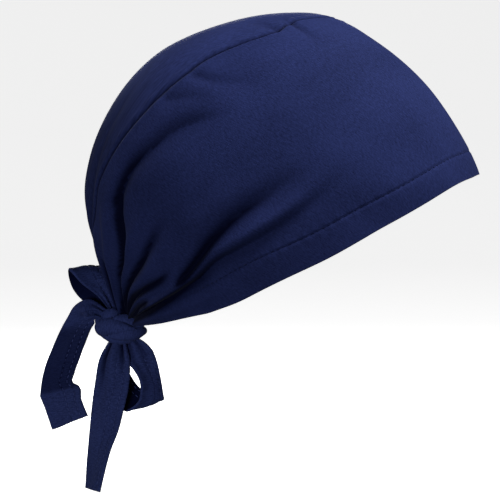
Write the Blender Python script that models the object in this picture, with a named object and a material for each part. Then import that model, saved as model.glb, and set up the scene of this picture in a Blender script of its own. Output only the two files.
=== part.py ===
"""Tie-back scrub cap in its worn form, tied in a bow at the nape.

Head directions are (side, forward, up), measured from the middle of the crown.
In the frame the face looks along -Y, the wearer's right side is -X and up is +Z.
"""
import math

import bpy
import numpy as np

# Sizes in metres
HALF_LENGTH = 0.1143
HALF_WIDTH = 0.080
CLOTH = 0.0014
HEM_WIDTH = 0.016
HEM_EXTRA = 0.0008
GAP = 0.0004
TIE_WIDTH = 0.024
TIE_THICKNESS = 0.0014
SEAM_DIP = 0.0009
SEAM_DIP_WIDTH = 0.0016
SEAM_CARRY = 0.0070
FOLD_WIDTH = 0.0100
FOLD_DEPTH = 0.0050
HEM_STEP = 0.0030
KNOT_LENGTH = 0.0256
KNOT_HEIGHT = 0.0200
KNOT_DEPTH = 0.0200

# Gaps that the panels and the ties keep from the knot, with a little more
# beside their ends
PANEL_TO_KNOT = 0.0013
TIE_TO_KNOT = 0.0008
KNOT_SPARE = 0.0006

# The head seat lies this far forward of the middle of the crown
SEAT_FORWARD = 0.0104

# How round the cap is across: 2 is an ellipse, more is squarer
ROUNDNESS = 2.2

# Numbers of faces along and across each sheet, how much closer together the
# rows of the side panel are at the knot, and the narrowest fold they can show
SIDE_STEPS = (80, 20)
CROWN_STEPS = (36, 6)
RIBBON_STEPS = (24, 4)
KNOT_STEPS = (36, 17)
SIDE_CLOSING = 0.6
FINEST_FOLD = 0.0024

# Points taken along a curve, a fold and a wrap
CURVE_SAMPLES = 400
FOLD_SAMPLES = 40
WRAP_SAMPLES = 16

# Share of a fold's path after which it fades out, and share of the side panel's
# half length over which its two sides blend into one at the front
FADE_FROM = 0.7
FRONT_CALM = 0.06

# The seat's height is read from the outline near this angle up from the front
SEAT_ANGLE = 85.0

# Mid-plane outline: angle up from the front in degrees, radius / HALF_LENGTH
PROFILE = (
    (4.0, 1.003), (13.0, 0.962), (22.0, 0.929), (36.0, 0.901),
    (48.0, 0.888), (60.0, 0.889), (68.0, 0.901), (79.0, 0.906),
    (87.0, 0.896), (98.0, 0.889), (111.0, 0.892), (122.0, 0.910),
    (130.0, 0.929), (142.0, 0.947), (155.0, 0.963), (171.0, 0.988),
    (181.0, 1.000), (188.0, 0.995), (196.0, 0.980), (205.0, 0.975),
    (220.0, 0.985), (235.0, 0.990), (253.0, 1.110), (275.0, 1.210),
    (295.0, 1.234), (310.0, 1.218), (325.0, 1.140), (340.0, 1.040),
)

# Lower edge: bearing from the front and rise, in degrees
HEM = (
    (0.0, 4.7), (15.0, 3.8), (30.0, 0.0), (52.0, -12.4), (76.0, -26.8),
    (104.0, -38.1), (120.0, -42.1), (131.0, -43.3), (155.0, -44.0),
    (173.5, -43.8),
)

# Seam between the two panels: angle up from the front and side angle, in degrees
SEAM = (
    (71.5, 0.0), (72.6, 5.5), (75.8, 10.7), (81.2, 15.8), (86.8, 19.3),
    (92.0, 25.0), (97.0, 27.2), (102.4, 28.4), (112.9, 29.7),
    (122.0, 30.4), (132.0, 31.5), (143.0, 30.6), (151.0, 29.2),
    (158.4, 27.1), (165.0, 24.7), (172.4, 21.6), (178.0, 19.0),
    (183.2, 17.6), (188.0, 14.8), (194.3, 9.0), (201.0, 6.5),
    (209.0, 5.0), (215.0, 3.6),
)

# Crown middle line: where it starts behind the seam's front and where it ends,
# as angles up from the front in degrees
CROWN_MIDDLE = (84.0, 213.0)


def smooth(xs, ys, x):
    """Smooth curve through (xs, ys), read at x."""
    xs = np.asarray(xs, float)
    ys = np.asarray(ys, float)
    step = np.diff(xs)
    slope = np.diff(ys) / step
    tangent = np.empty_like(ys)
    tangent[1:-1] = (slope[:-1] * step[1:] + slope[1:] * step[:-1]) / (step[:-1] + step[1:])
    tangent[0] = slope[0]
    tangent[-1] = slope[-1]
    x = np.clip(x, xs[0], xs[-1])
    i = np.clip(np.searchsorted(xs, x) - 1, 0, len(xs) - 2)
    t = (x - xs[i]) / step[i]
    return (
        (2 * t**3 - 3 * t**2 + 1) * ys[i]
        + (t**3 - 2 * t**2 + t) * step[i] * tangent[i]
        + (3 * t**2 - 2 * t**3) * ys[i + 1]
        + (t**3 - t**2) * step[i] * tangent[i + 1]
    )


def profile_radius(angle):
    """Radius of the mid-plane outline at an angle in degrees."""
    rows = np.array(PROFILE)
    before = rows[-4:] - (360.0, 0.0)
    after = rows[:4] + (360.0, 0.0)
    rows = np.concatenate([before, rows, after])
    return smooth(rows[:, 0], rows[:, 1], np.mod(angle, 360.0)) * HALF_LENGTH


def crown_radius(direction):
    """Distance from the middle of the crown to the cloth, along unit directions."""
    side, forward, up = np.moveaxis(direction, -1, 0)
    flat = np.hypot(forward, up) / profile_radius(np.degrees(np.arctan2(up, forward)))
    across = np.abs(side) / HALF_WIDTH
    return (flat**ROUNDNESS + across**ROUNDNESS) ** (-1.0 / ROUNDNESS)


def unit(vectors):
    return vectors / np.linalg.norm(vectors, axis=-1, keepdims=True)


def hem_row_direction(bearing, rise):
    bearing = np.radians(bearing)
    rise = np.radians(rise)
    return np.stack(
        [np.cos(rise) * np.sin(bearing), np.cos(rise) * np.cos(bearing), np.sin(rise)], -1
    )


def seam_row_direction(angle, side_angle):
    angle = np.radians(angle)
    side_angle = np.radians(side_angle)
    return np.stack(
        [
            np.sin(side_angle),
            np.cos(side_angle) * np.cos(angle),
            np.cos(side_angle) * np.sin(angle),
        ],
        -1,
    )


def even_curve(rows, to_direction, share):
    """Direction at a share of the length of a curve given by its rows."""
    rows = np.array(rows)
    index = np.arange(len(rows))
    fine = np.linspace(0.0, len(rows) - 1.0, CURVE_SAMPLES)
    first = smooth(index, rows[:, 0], fine)
    second = smooth(index, rows[:, 1], fine)
    direction = to_direction(first, second)
    points = direction * crown_radius(direction)[:, None]
    length = np.concatenate([[0.0], np.cumsum(np.linalg.norm(np.diff(points, axis=0), axis=1))])
    at = np.interp(np.asarray(share) * length[-1], length, fine)
    return to_direction(smooth(index, rows[:, 0], at), smooth(index, rows[:, 1], at))


def between(start, end, share):
    """Direction at a share of the arc from one direction to another."""
    share = np.asarray(share)[..., None]
    angle = np.arccos(np.clip(np.sum(start * end, -1, keepdims=True), -1.0, 1.0))
    angle = np.maximum(angle, 1e-6)
    return unit((np.sin((1 - share) * angle) * start + np.sin(share * angle) * end) / np.sin(angle))


def side_direction(along, across):
    """Direction in the side panel: along 0 front to 1 knot, across 0 hem to 1 seam."""
    hem = even_curve(HEM, hem_row_direction, along)
    seam = even_curve(SEAM, seam_row_direction, along)
    return between(hem, seam, across)


def crown_direction(along, across):
    """Direction in the crown panel: across 0 seam to 1 middle line."""
    seam = even_curve(SEAM, seam_row_direction, along)
    start, end = CROWN_MIDDLE
    middle = seam_row_direction(start + (end - start) * np.asarray(along), 0.0 * np.asarray(along))
    return between(seam, middle, across)


# Width of the turned hem along the panel, as shares of HEM_WIDTH: it is pulled
# wider at the back of the side and gathered at the knot
HEM_ROWS = (
    (0.0, 0.80), (0.30, 0.86), (0.45, 0.97), (0.60, 1.18),
    (0.70, 1.16), (0.80, 0.97), (0.90, 0.65), (1.0, 0.22),
)

# Folds of the side panel: path of (along, across), width at the knot end and at
# the far end in fold widths, height at both ends in fold depths (valleys are
# negative), and lean (how much wider the fold is on the seam side of its path)
SIDE_FOLDS = (
    ("deep crease", ((1.0, 0.63), (0.90, 0.60), (0.81, 0.652), (0.76, 0.738), (0.72, 0.800), (0.68, 0.860)),
     (0.16, 0.38), (-0.95, -0.85), 0.40),
    ("deep crease bend", ((0.70, 0.84), (0.635, 0.875), (0.58, 0.868), (0.515, 0.85), (0.463, 0.80),
     (0.40, 0.70)),
     (0.40, 0.85), (-0.66, -0.20), 0.35),
    ("tube beside the deep crease", ((0.97, 0.72), (0.89, 0.71), (0.83, 0.78), (0.76, 0.86), (0.70, 0.93)),
     (0.22, 0.50), (0.36, 0.24), 0.0),
    ("nape valley", ((1.0, 0.82), (0.96, 0.80), (0.91, 0.84), (0.86, 0.90)),
     (0.11, 0.22), (-0.60, -0.36), 0.0),
    ("nape ridge", ((0.99, 0.93), (0.94, 0.93), (0.88, 0.95), (0.82, 0.96), (0.77, 0.97)),
     (0.45, 0.50), (0.76, 0.05), 0.0),
    ("ridge beside the deep crease", ((0.97, 0.53), (0.90, 0.53), (0.83, 0.59), (0.77, 0.64),
     (0.69, 0.66), (0.61, 0.70)),
     (0.16, 0.42), (0.40, 0.16), 0.0),
    ("second valley", ((0.99, 0.50), (0.93, 0.485), (0.865, 0.48), (0.79, 0.52), (0.72, 0.545),
     (0.66, 0.58), (0.60, 0.62)),
     (0.12, 0.40), (-0.95, -0.16), 0.15),
    ("broad ridge", ((0.96, 0.43), (0.89, 0.43), (0.79, 0.45), (0.71, 0.47), (0.63, 0.488),
     (0.565, 0.475), (0.463, 0.444)),
     (0.20, 0.90), (0.46, 0.14), 0.0),
    ("third valley", ((0.98, 0.40), (0.93, 0.395), (0.86, 0.38), (0.80, 0.372), (0.74, 0.362),
     (0.70, 0.375)),
     (0.11, 0.28), (-0.70, -0.26), 0.15),
    ("third ridge", ((0.97, 0.345), (0.90, 0.342), (0.82, 0.335), (0.755, 0.338), (0.70, 0.365),
     (0.65, 0.42)),
     (0.12, 0.36), (0.36, 0.14), 0.0),
    ("short valley", ((0.985, 0.30), (0.93, 0.295), (0.86, 0.277), (0.82, 0.27)),
     (0.10, 0.18), (-0.46, -0.12), 0.0),
    ("long upper valley", ((0.75, 0.285), (0.71, 0.292), (0.66, 0.325), (0.615, 0.358), (0.55, 0.382),
     (0.478, 0.375), (0.37, 0.356)),
     (0.13, 0.60), (-0.84, -0.44), -0.10),
    ("long ridge", ((0.90, 0.235), (0.82, 0.25), (0.755, 0.262), (0.68, 0.277), (0.62, 0.290),
     (0.545, 0.278), (0.455, 0.275), (0.335, 0.319)),
     (0.15, 0.50), (0.56, 0.28), 0.0),
    ("long lower valley", ((0.99, 0.22), (0.93, 0.205), (0.85, 0.200), (0.77, 0.228), (0.71, 0.226),
     (0.65, 0.252), (0.578, 0.231), (0.485, 0.225), (0.39, 0.244), (0.29, 0.30)),
     (0.14, 0.70), (-0.90, -0.12), 0.15),
    ("ridge above the hem", ((0.98, 0.13), (0.90, 0.12), (0.80, 0.118), (0.70, 0.125), (0.60, 0.122)),
     (0.18, 0.50), (0.28, 0.12), 0.0),
    ("upper dent", ((0.413, 0.965), (0.40, 0.894), (0.375, 0.82), (0.345, 0.763)),
     (0.35, 0.60), (-0.14, -0.05), 0.0),
    ("rear dent", ((0.485, 0.963), (0.453, 0.906), (0.422, 0.844)),
     (0.35, 0.50), (-0.08, -0.03), 0.0),
    ("wrinkle from the seam", ((0.172, 0.995), (0.186, 0.93), (0.199, 0.86), (0.205, 0.795)),
     (0.16, 0.30), (-0.14, -0.05), 0.0),
)

# Folds of the crown panel: across runs from 0 at the seam to 1 at the middle line
CROWN_FOLDS = (
    ("rear valley", ((0.97, 0.45), (0.86, 0.30), (0.735, 0.20), (0.69, 0.25), (0.64, 0.33),
     (0.557, 0.41), (0.50, 0.45), (0.42, 0.60)),
     (0.18, 0.55), (-0.24, -0.08), 0.0),
    ("rear middle valley", ((0.99, 0.85), (0.90, 0.75), (0.80, 0.66), (0.68, 0.62), (0.58, 0.70)),
     (0.14, 0.35), (-0.20, -0.06), 0.0),
    ("rear ridge", ((0.98, 0.65), (0.88, 0.52), (0.78, 0.42), (0.68, 0.43), (0.60, 0.52)),
     (0.16, 0.40), (0.16, 0.05), 0.0),
    ("top dent", ((0.21, 0.04), (0.213, 0.25), (0.222, 0.51)),
     (0.26, 0.60), (-0.20, -0.06), 0.0),
)

# Folds that start softly, and the share of their path over which they do
SOFT_STARTS = ("long upper valley",)
SOFT_START = 0.18

# The far side has the same folds, a little calmer and shifted by up to this much
FAR_SHARE = 0.85
FAR_SHIFT = 0.03

# Middle of the knot as (side, forward, up), in half lengths of the cap
KNOT_MIDDLE = (0.0, -0.817, -0.6955)

# Share of a panel's length that is drawn in to the knot, and share of a tie's
KNOT_REACH = 0.12
TIE_REACH = 0.10

# Wraps of the knot: which side, path of (forward, up) as shares of its half
# sizes, half widths along it and height as shares of KNOT_HEIGHT
KNOT_WRAPS = (
    ("lump", 1, ((-0.96, 0.42), (-0.78, 0.66), (-0.34, 0.80)), (0.20, 0.27, 0.16), 0.17),
    ("sweeping band", 1, ((-0.97, -0.02), (-0.48, 0.10), (0.10, 0.02), (0.55, -0.06)),
     (0.28, 0.25, 0.17, 0.05), 0.14),
    ("leaf", 1, ((-0.42, -0.42), (0.10, -0.44), (0.62, -0.38), (0.95, -0.22)),
     (0.06, 0.17, 0.23, 0.14), 0.15),
    ("top wrap", 1, ((-0.20, 0.50), (0.22, 0.52), (0.62, 0.36), (0.93, 0.10)),
     (0.10, 0.18, 0.17, 0.10), 0.08),
    ("bottom wrap", 1, ((-0.74, -0.56), (-0.20, -0.86), (0.55, -0.80)), (0.12, 0.15, 0.12), 0.05),
    ("far upper wrap", -1, ((-0.95, 0.30), (-0.10, 0.42), (0.80, 0.52)), (0.21, 0.23, 0.15), 0.11),
    ("far lower wrap", -1, ((-0.85, -0.42), (0.00, -0.36), (0.90, -0.10)), (0.16, 0.22, 0.15), 0.08),
)

# Ties and bow: each row gives the two edges of the tape as
# (forward, up, side) from the middle of the knot, in tie widths
LOOP_REAR = (
    (-0.29, 0.41, -0.04, -0.15, 0.47, 0.00),
    (-0.58, 0.75, 0.04, -0.27, 0.87, 0.00),
    (-0.94, 1.06, 0.17, -0.37, 1.21, -0.12),
    (-1.18, 1.33, 0.12, -0.46, 1.40, -0.32),
    (-1.29, 1.39, -0.12, -0.53, 1.45, -0.55),
    (-1.30, 1.21, -0.38, -0.48, 1.33, -0.62),
    (-1.21, 0.92, -0.42, -0.38, 1.08, -0.60),
    (-0.94, 0.60, -0.33, -0.24, 0.80, -0.46),
    (-0.41, 0.31, -0.21, -0.12, 0.42, -0.27),
)
LOOP_FRONT = (
    (0.18, -0.44, 0.08, 0.50, -0.32, 0.20),
    (0.12, -0.60, 0.12, 0.70, -0.43, 0.29),
    (0.16, -0.82, 0.18, 0.83, -0.70, 0.20),
    (0.36, -1.06, 0.34, 0.92, -0.99, 0.12),
    (0.48, -1.28, 0.44, 0.97, -1.28, 0.08),
    (0.50, -1.53, 0.44, 1.01, -1.52, 0.06),
    (0.42, -1.82, 0.30, 1.04, -1.68, 0.04),
    (0.12, -2.04, 0.10, 1.03, -1.76, -0.04),
    (-0.10, -1.84, -0.06, 0.75, -1.67, -0.17),
    (-0.27, -1.47, -0.14, 0.43, -1.50, -0.25),
    (-0.36, -1.04, -0.14, 0.19, -1.16, -0.29),
    (-0.34, -0.60, -0.10, 0.00, -0.70, -0.21),
    (-0.27, -0.43, -0.08, -0.02, -0.46, -0.21),
)
TAIL_REAR = (
    (-0.31, 0.44, 0.12, -0.41, 0.20, 0.25),
    (-0.70, 0.66, 0.02, -0.62, 0.25, 0.36),
    (-1.00, 0.60, -0.04, -0.80, 0.22, 0.42),
    (-1.15, 0.48, -0.12, -0.80, 0.24, 0.34),
    (-1.32, 0.22, -0.18, -0.60, 0.27, 0.16),
    (-1.52, -0.14, -0.24, -0.74, -0.05, 0.14),
    (-1.71, -0.56, -0.32, -0.89, -0.43, 0.08),
    (-1.86, -0.92, -0.38, -1.02, -0.78, 0.00),
    (-1.96, -1.28, -0.44, -1.14, -1.12, -0.06),
    (-2.00, -1.54, -0.47, -1.18, -1.36, -0.10),
    (-2.01, -1.66, -0.44, -1.05, -1.42, -0.04),
    (-1.88, -2.02, -0.30, -0.97, -1.74, 0.08),
    (-1.69, -2.51, -0.10, -0.80, -2.13, 0.26),
)
TAIL_LOWER = (
    (-0.36, -0.35, 0.08, 0.14, -0.41, 0.25),
    (-0.53, -0.75, 0.00, 0.21, -0.75, 0.29),
    (-0.66, -1.38, -0.17, 0.19, -1.38, 0.33),
    (-0.74, -1.96, -0.25, 0.07, -1.96, 0.33),
    (-0.79, -2.49, -0.33, -0.07, -2.49, 0.38),
    (-0.83, -2.97, -0.40, -0.24, -2.92, 0.42),
    (-0.87, -3.45, -0.44, -0.39, -3.45, 0.46),
    (-0.90, -3.96, -0.46, -0.51, -3.95, 0.48),
)


def ease(x):
    x = np.clip(x, 0.0, 1.0)
    return x * x * (3.0 - 2.0 * x)


def on_cloth(direction):
    return direction * crown_radius(direction)[..., None]


def near_line(points, line):
    """Distance to a line of points, share of the way along it, and which side."""
    start = line[:-1]
    step = line[1:] - start
    offset = points[:, None, :] - start[None]
    share = np.clip(np.sum(offset * step, -1) / np.sum(step * step, -1), 0.0, 1.0)
    gap = offset - share[..., None] * step
    distance = np.linalg.norm(gap, axis=-1)
    best = np.argmin(distance, axis=1)
    pick = np.arange(len(points))
    along = (best + share[pick, best]) / len(step)
    turn = np.cross(step[best], points)
    side = np.sign(np.sum(turn * gap[pick, best], -1))
    return distance[pick, best], along, side


def fold_relief(points, folds, to_direction, far):
    """Height of the folds over the smooth cloth, one value for each point."""
    flat = points.reshape(-1, 3)
    relief = np.zeros(len(flat))
    for number, (name, path, width, height, lean) in enumerate(folds):
        path = np.array(path)
        if far:
            path[:, 1] += FAR_SHIFT * math.sin(2.1 * number + 1.0) * (1.0 - path[:, 0])
        key = np.linspace(0.0, 1.0, len(path))
        at = np.linspace(0.0, 1.0, FOLD_SAMPLES)
        line = on_cloth(to_direction(smooth(key, path[:, 0], at), smooth(key, path[:, 1], at)))
        distance, along, side = near_line(flat, line)
        here = FOLD_WIDTH * (width[0] + (width[1] - width[0]) * along) * (1.0 + lean * side)
        here = np.maximum(here, FINEST_FOLD)
        tall = FOLD_DEPTH * (height[0] + (height[1] - height[0]) * along)
        tall = tall * (1.0 - ease((along - FADE_FROM) / (1.0 - FADE_FROM)))
        if name in SOFT_STARTS:
            tall = tall * ease(along / SOFT_START)
        relief += tall * np.exp(-((distance / here) ** 2)) * (FAR_SHARE if far else 1.0)
    return relief.reshape(points.shape[:-1])


def knot_radius(direction):
    """Distance from the middle of the knot to its skin, along unit directions."""
    half = 0.5 * np.array((KNOT_DEPTH, KNOT_LENGTH, KNOT_HEIGHT))
    flat = direction.reshape(-1, 3)
    base = 1.0 / np.linalg.norm(flat / half, axis=-1)
    points = flat * base[:, None]
    rise = np.zeros(len(flat))
    for name, which, path, widths, height in KNOT_WRAPS:
        path = np.array(path)
        key = np.linspace(0.0, 1.0, len(path))
        at = np.linspace(0.0, 1.0, WRAP_SAMPLES)
        forward = smooth(key, path[:, 0], at)
        up = smooth(key, path[:, 1], at)
        side = which * np.sqrt(np.clip(1.0 - forward**2 - up**2, 0.02, 1.0))
        line = np.stack([side, forward, up], -1)
        line = unit(line) * half
        distance, along, turned = near_line(points, line)
        width = KNOT_HEIGHT * smooth(key, np.array(widths), along)
        bulge = np.clip(1.0 - (distance / width) ** 2, 0.0, 1.0)
        rise = np.maximum(rise, KNOT_HEIGHT * height * bulge)
    return (base + rise).reshape(direction.shape[:-1])


def knot_middle():
    return np.array(KNOT_MIDDLE) * HALF_LENGTH


def meet_knot(points, weight, gap):
    """Bring points to within a gap of the skin of the knot, by weight."""
    offset = points - knot_middle()
    distance = np.linalg.norm(offset, axis=-1)
    direction = offset / distance[..., None]
    target = knot_radius(direction) + gap
    moved = distance + weight * (target - distance)
    moved = np.maximum(moved, target + KNOT_SPARE * (1.0 - np.clip(weight, 0.0, 1.0)))
    return knot_middle() + direction * moved[..., None]


def panel_heights(along):
    """Heights of the side panel and of the crown panel, from edge to edge."""
    hem = side_direction(along, np.zeros_like(along))
    seam = side_direction(along, np.ones_like(along))
    middle = crown_direction(along, np.ones_like(along))
    side_height = np.linalg.norm(on_cloth(seam) - on_cloth(hem), axis=-1)
    crown_height = np.linalg.norm(on_cloth(seam) - on_cloth(middle), axis=-1)
    return side_height, crown_height


def carried_over(along, distance, folds, to_direction, edge, far):
    """Height that the other panel's folds have at the seam, fading away from it."""
    line = along[:, :1]
    points = on_cloth(to_direction(line, np.full_like(line, edge)))
    height = fold_relief(points, folds, to_direction, far)
    return height * np.exp(-((distance / SEAM_CARRY) ** 2))


def side_sheet(along, across, far):
    """Outer and inner points of one half of the side panel."""
    side_height, crown_height = panel_heights(along)
    across = across * (1.0 - 0.5 * GAP / side_height)
    direction = side_direction(along, across)
    smooth_points = on_cloth(direction)
    relief = fold_relief(smooth_points, SIDE_FOLDS, side_direction, far)
    to_seam = (1.0 - across) * side_height
    relief += carried_over(along, to_seam, CROWN_FOLDS, crown_direction, 0.0, far)
    relief -= SEAM_DIP * np.exp(-((to_seam / SEAM_DIP_WIDTH) ** 2))
    outer = smooth_points + direction * relief[..., None]
    outer = meet_knot(outer, ease((along - 1.0 + KNOT_REACH) / KNOT_REACH), PANEL_TO_KNOT)
    rows = np.array(HEM_ROWS)
    hem = HEM_WIDTH * smooth(rows[:, 0], rows[:, 1], along)
    wall = CLOTH + HEM_EXTRA * ease((hem - across * side_height) / HEM_STEP + 0.5)
    inner = outer - direction * wall[..., None]
    if far:
        outer = outer * (-1.0, 1.0, 1.0)
        inner = inner * (-1.0, 1.0, 1.0)
    return outer, inner


def crown_sheet(along, across, far):
    """Outer and inner points of one half of the crown panel."""
    side_height, crown_height = panel_heights(along)
    across = np.maximum(across, 0.5 * GAP / crown_height)
    direction = crown_direction(along, across)
    smooth_points = on_cloth(direction)
    relief = fold_relief(smooth_points, CROWN_FOLDS, crown_direction, far)
    to_seam = across * crown_height
    relief += carried_over(along, to_seam, SIDE_FOLDS, side_direction, 1.0, far)
    relief -= SEAM_DIP * np.exp(-((to_seam / SEAM_DIP_WIDTH) ** 2))
    outer = smooth_points + direction * relief[..., None]
    outer = meet_knot(outer, ease((along - 1.0 + KNOT_REACH) / KNOT_REACH), PANEL_TO_KNOT)
    inner = outer - direction * CLOTH
    if far:
        outer = outer * (-1.0, 1.0, 1.0)
        inner = inner * (-1.0, 1.0, 1.0)
    return outer, inner


def seat_height():
    """Height of the head seat above the middle of the crown."""
    angle = math.acos(min(1.0, SEAT_FORWARD / profile_radius(np.array([SEAT_ANGLE]))[0]))
    top = profile_radius(np.array([math.degrees(angle)]))[0]
    return top * math.sin(angle) - CLOTH


def to_frame(points):
    """Head points (side, forward, up) to the frame, with the head seat at its origin."""
    side, forward, up = np.moveaxis(points, -1, 0)
    return np.stack([-side, SEAT_FORWARD - forward, up - seat_height()], -1)


def grid_faces(index):
    """Quads of a grid of vertex numbers."""
    return [
        (int(index[i, j]), int(index[i + 1, j]), int(index[i + 1, j + 1]), int(index[i, j + 1]))
        for i in range(index.shape[0] - 1)
        for j in range(index.shape[1] - 1)
    ]


def cloth_material():
    material = bpy.data.materials.new("navy_cloth")
    material.use_nodes = True
    shader = material.node_tree.nodes["Principled BSDF"]
    shader.inputs["Base Color"].default_value = (0.020, 0.027, 0.105, 1.0)
    shader.inputs["Roughness"].default_value = 0.85
    return material


def add_object(name, points, faces, material):
    """Make one object, with its faces turned outwards."""
    corners = [points[[face[0], face[k], face[k + 1]]] for face in faces for k in range(1, len(face) - 1)]
    corners = np.array(corners)
    volume = np.sum(np.cross(corners[:, 0], corners[:, 1]) * corners[:, 2])
    if volume < 0.0:
        faces = [face[::-1] for face in faces]
    mesh = bpy.data.meshes.new(name)
    mesh.from_pydata([tuple(p) for p in points.tolist()], [], faces)
    mesh.materials.append(material)
    mesh.update()
    item = bpy.data.objects.new(name, mesh)
    bpy.context.scene.collection.objects.link(item)
    return item


def add_sheet(name, outer, inner, faces, material):
    """Make one closed sheet from its two skins, closing every open edge."""
    count = len(outer)
    used = {}
    for face in faces:
        for a, b in zip(face, face[1:] + face[:1]):
            used[(a, b)] = True
    rims = [(b, a, a + count, b + count) for a, b in used if (b, a) not in used]
    back = [tuple(v + count for v in reversed(face)) for face in faces]
    points = to_frame(np.concatenate([outer, inner]))
    return add_object(name, points, faces + back + rims, material)


def build_side_panel(material):
    steps, rows = SIDE_STEPS
    share = np.linspace(0.0, 1.0, steps // 2 + 1)
    share = share * (1.0 + SIDE_CLOSING * (1.0 - share))
    along, across = np.meshgrid(share, np.linspace(0.0, 1.0, rows + 1), indexing="ij")
    near_outer, near_inner = side_sheet(along, across, False)
    far_outer, far_inner = side_sheet(along, across, True)
    calm = ease(along[:, :, None] / FRONT_CALM)
    middle = 0.5 * (near_outer + far_outer * (-1.0, 1.0, 1.0))
    middle_inner = 0.5 * (near_inner + far_inner * (-1.0, 1.0, 1.0))
    near_outer = middle + (near_outer - middle) * calm
    near_inner = middle_inner + (near_inner - middle_inner) * calm
    mirrored = np.array((-1.0, 1.0, 1.0))
    far_outer = middle * mirrored + (far_outer - middle * mirrored) * calm
    far_inner = middle_inner * mirrored + (far_inner - middle_inner * mirrored) * calm
    outer = np.concatenate([far_outer[:0:-1], near_outer])
    inner = np.concatenate([far_inner[:0:-1], near_inner])
    index = np.arange(outer.shape[0] * outer.shape[1]).reshape(outer.shape[:2])
    add_sheet("side_panel", outer.reshape(-1, 3), inner.reshape(-1, 3), grid_faces(index), material)


def build_crown_panel(material):
    steps, rows = CROWN_STEPS
    along, across = np.meshgrid(
        np.linspace(0.0, 1.0, steps + 1), np.linspace(0.0, 1.0, rows + 1), indexing="ij"
    )
    near_outer, near_inner = crown_sheet(along, across, False)
    far_outer, far_inner = crown_sheet(along, across, True)
    for near, far in ((near_outer, far_outer), (near_inner, far_inner)):
        near[0] = 0.5 * (near[0] + far[0] * (-1.0, 1.0, 1.0))
        near[:, -1] = 0.5 * (near[:, -1] + far[:, -1] * (-1.0, 1.0, 1.0))
    outer = np.concatenate([far_outer[:0:-1, :-1], near_outer[:, :-1]])
    inner = np.concatenate([far_inner[:0:-1, :-1], near_inner[:, :-1]])
    count = outer.shape[0] * outer.shape[1]
    index = np.arange(count).reshape(outer.shape[:2])
    middle = count + np.abs(np.arange(-steps, steps + 1))
    index = np.concatenate([index, middle[:, None]], axis=1)
    outer = np.concatenate([outer.reshape(-1, 3), near_outer[:, -1]])
    inner = np.concatenate([inner.reshape(-1, 3), near_inner[:, -1]])
    add_sheet("crown_panel", outer, inner, grid_faces(index), material)


def ribbon_points(rows, steps, across):
    """Middle surface of a tape, from the rows of its two edges."""
    rows = np.array(rows) * TIE_WIDTH
    middle = 0.5 * (rows[:, :3] + rows[:, 3:])
    key = np.concatenate([[0.0], np.cumsum(np.linalg.norm(np.diff(middle, axis=0), axis=1))])
    at = np.linspace(0.0, key[-1], steps + 1)
    edges = np.stack([smooth(key, rows[:, k], at) for k in range(6)], -1)
    share = np.linspace(0.0, 1.0, across + 1)[None, :, None]
    points = edges[:, None, :3] * (1.0 - share) + edges[:, None, 3:] * share
    points = points[..., (2, 0, 1)] + knot_middle()
    return points


def surface_normals(points):
    down = np.gradient(points, axis=0)
    across = np.gradient(points, axis=1)
    return unit(np.cross(down, across))


def build_ribbon(name, rows, is_loop, material):
    points = ribbon_points(rows, *RIBBON_STEPS)
    normal = surface_normals(points)
    share = np.linspace(0.0, 1.0, points.shape[0])
    held = ease(1.0 - share / TIE_REACH)
    if is_loop:
        held = held + ease(1.0 - (1.0 - share) / TIE_REACH)
    held = np.repeat(held[:, None], points.shape[1], axis=1)
    outer = meet_knot(points + normal * 0.5 * TIE_THICKNESS, held, TIE_TO_KNOT)
    inner = meet_knot(points - normal * 0.5 * TIE_THICKNESS, held, TIE_TO_KNOT)
    index = np.arange(points.shape[0] * points.shape[1]).reshape(points.shape[:2])
    add_sheet(name, outer.reshape(-1, 3), inner.reshape(-1, 3), grid_faces(index), material)


def build_knot(material):
    around, down = KNOT_STEPS
    turn = np.linspace(0.0, 2.0 * math.pi, around, endpoint=False)
    tilt = np.linspace(0.0, math.pi, down + 1)[1:-1]
    turn, tilt = np.meshgrid(turn, tilt, indexing="ij")
    direction = np.stack([np.cos(tilt), np.sin(tilt) * np.cos(turn), np.sin(tilt) * np.sin(turn)], -1)
    poles = np.array([[1.0, 0.0, 0.0], [-1.0, 0.0, 0.0]])
    direction = np.concatenate([direction.reshape(-1, 3), poles])
    points = direction * knot_radius(direction)[:, None] + knot_middle()
    index = np.arange(around * (down - 1)).reshape(around, down - 1)
    index = np.concatenate([index, index[:1]])
    faces = grid_faces(index)
    near = len(points) - 2
    far = len(points) - 1
    for i in range(around):
        faces.append((near, int(index[i + 1, 0]), int(index[i, 0])))
        faces.append((far, int(index[i, -1]), int(index[i + 1, -1])))
    add_object("knot", to_frame(points), faces, material)


def main():
    for item in list(bpy.data.objects):
        bpy.data.objects.remove(item)
    material = cloth_material()
    build_side_panel(material)
    build_crown_panel(material)
    build_knot(material)
    build_ribbon("loop_rear", LOOP_REAR, True, material)
    build_ribbon("loop_front", LOOP_FRONT, True, material)
    build_ribbon("tail_rear", TAIL_REAR, False, material)
    build_ribbon("tail_lower", TAIL_LOWER, False, material)


main()
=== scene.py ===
"""Looks of the tie-back scrub cap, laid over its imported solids.

Head directions are (side, forward, up), measured from the middle of the crown.
In the frame the face looks along -Y, the wearer's right side is -X and up is +Z.
"""
import math

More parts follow.
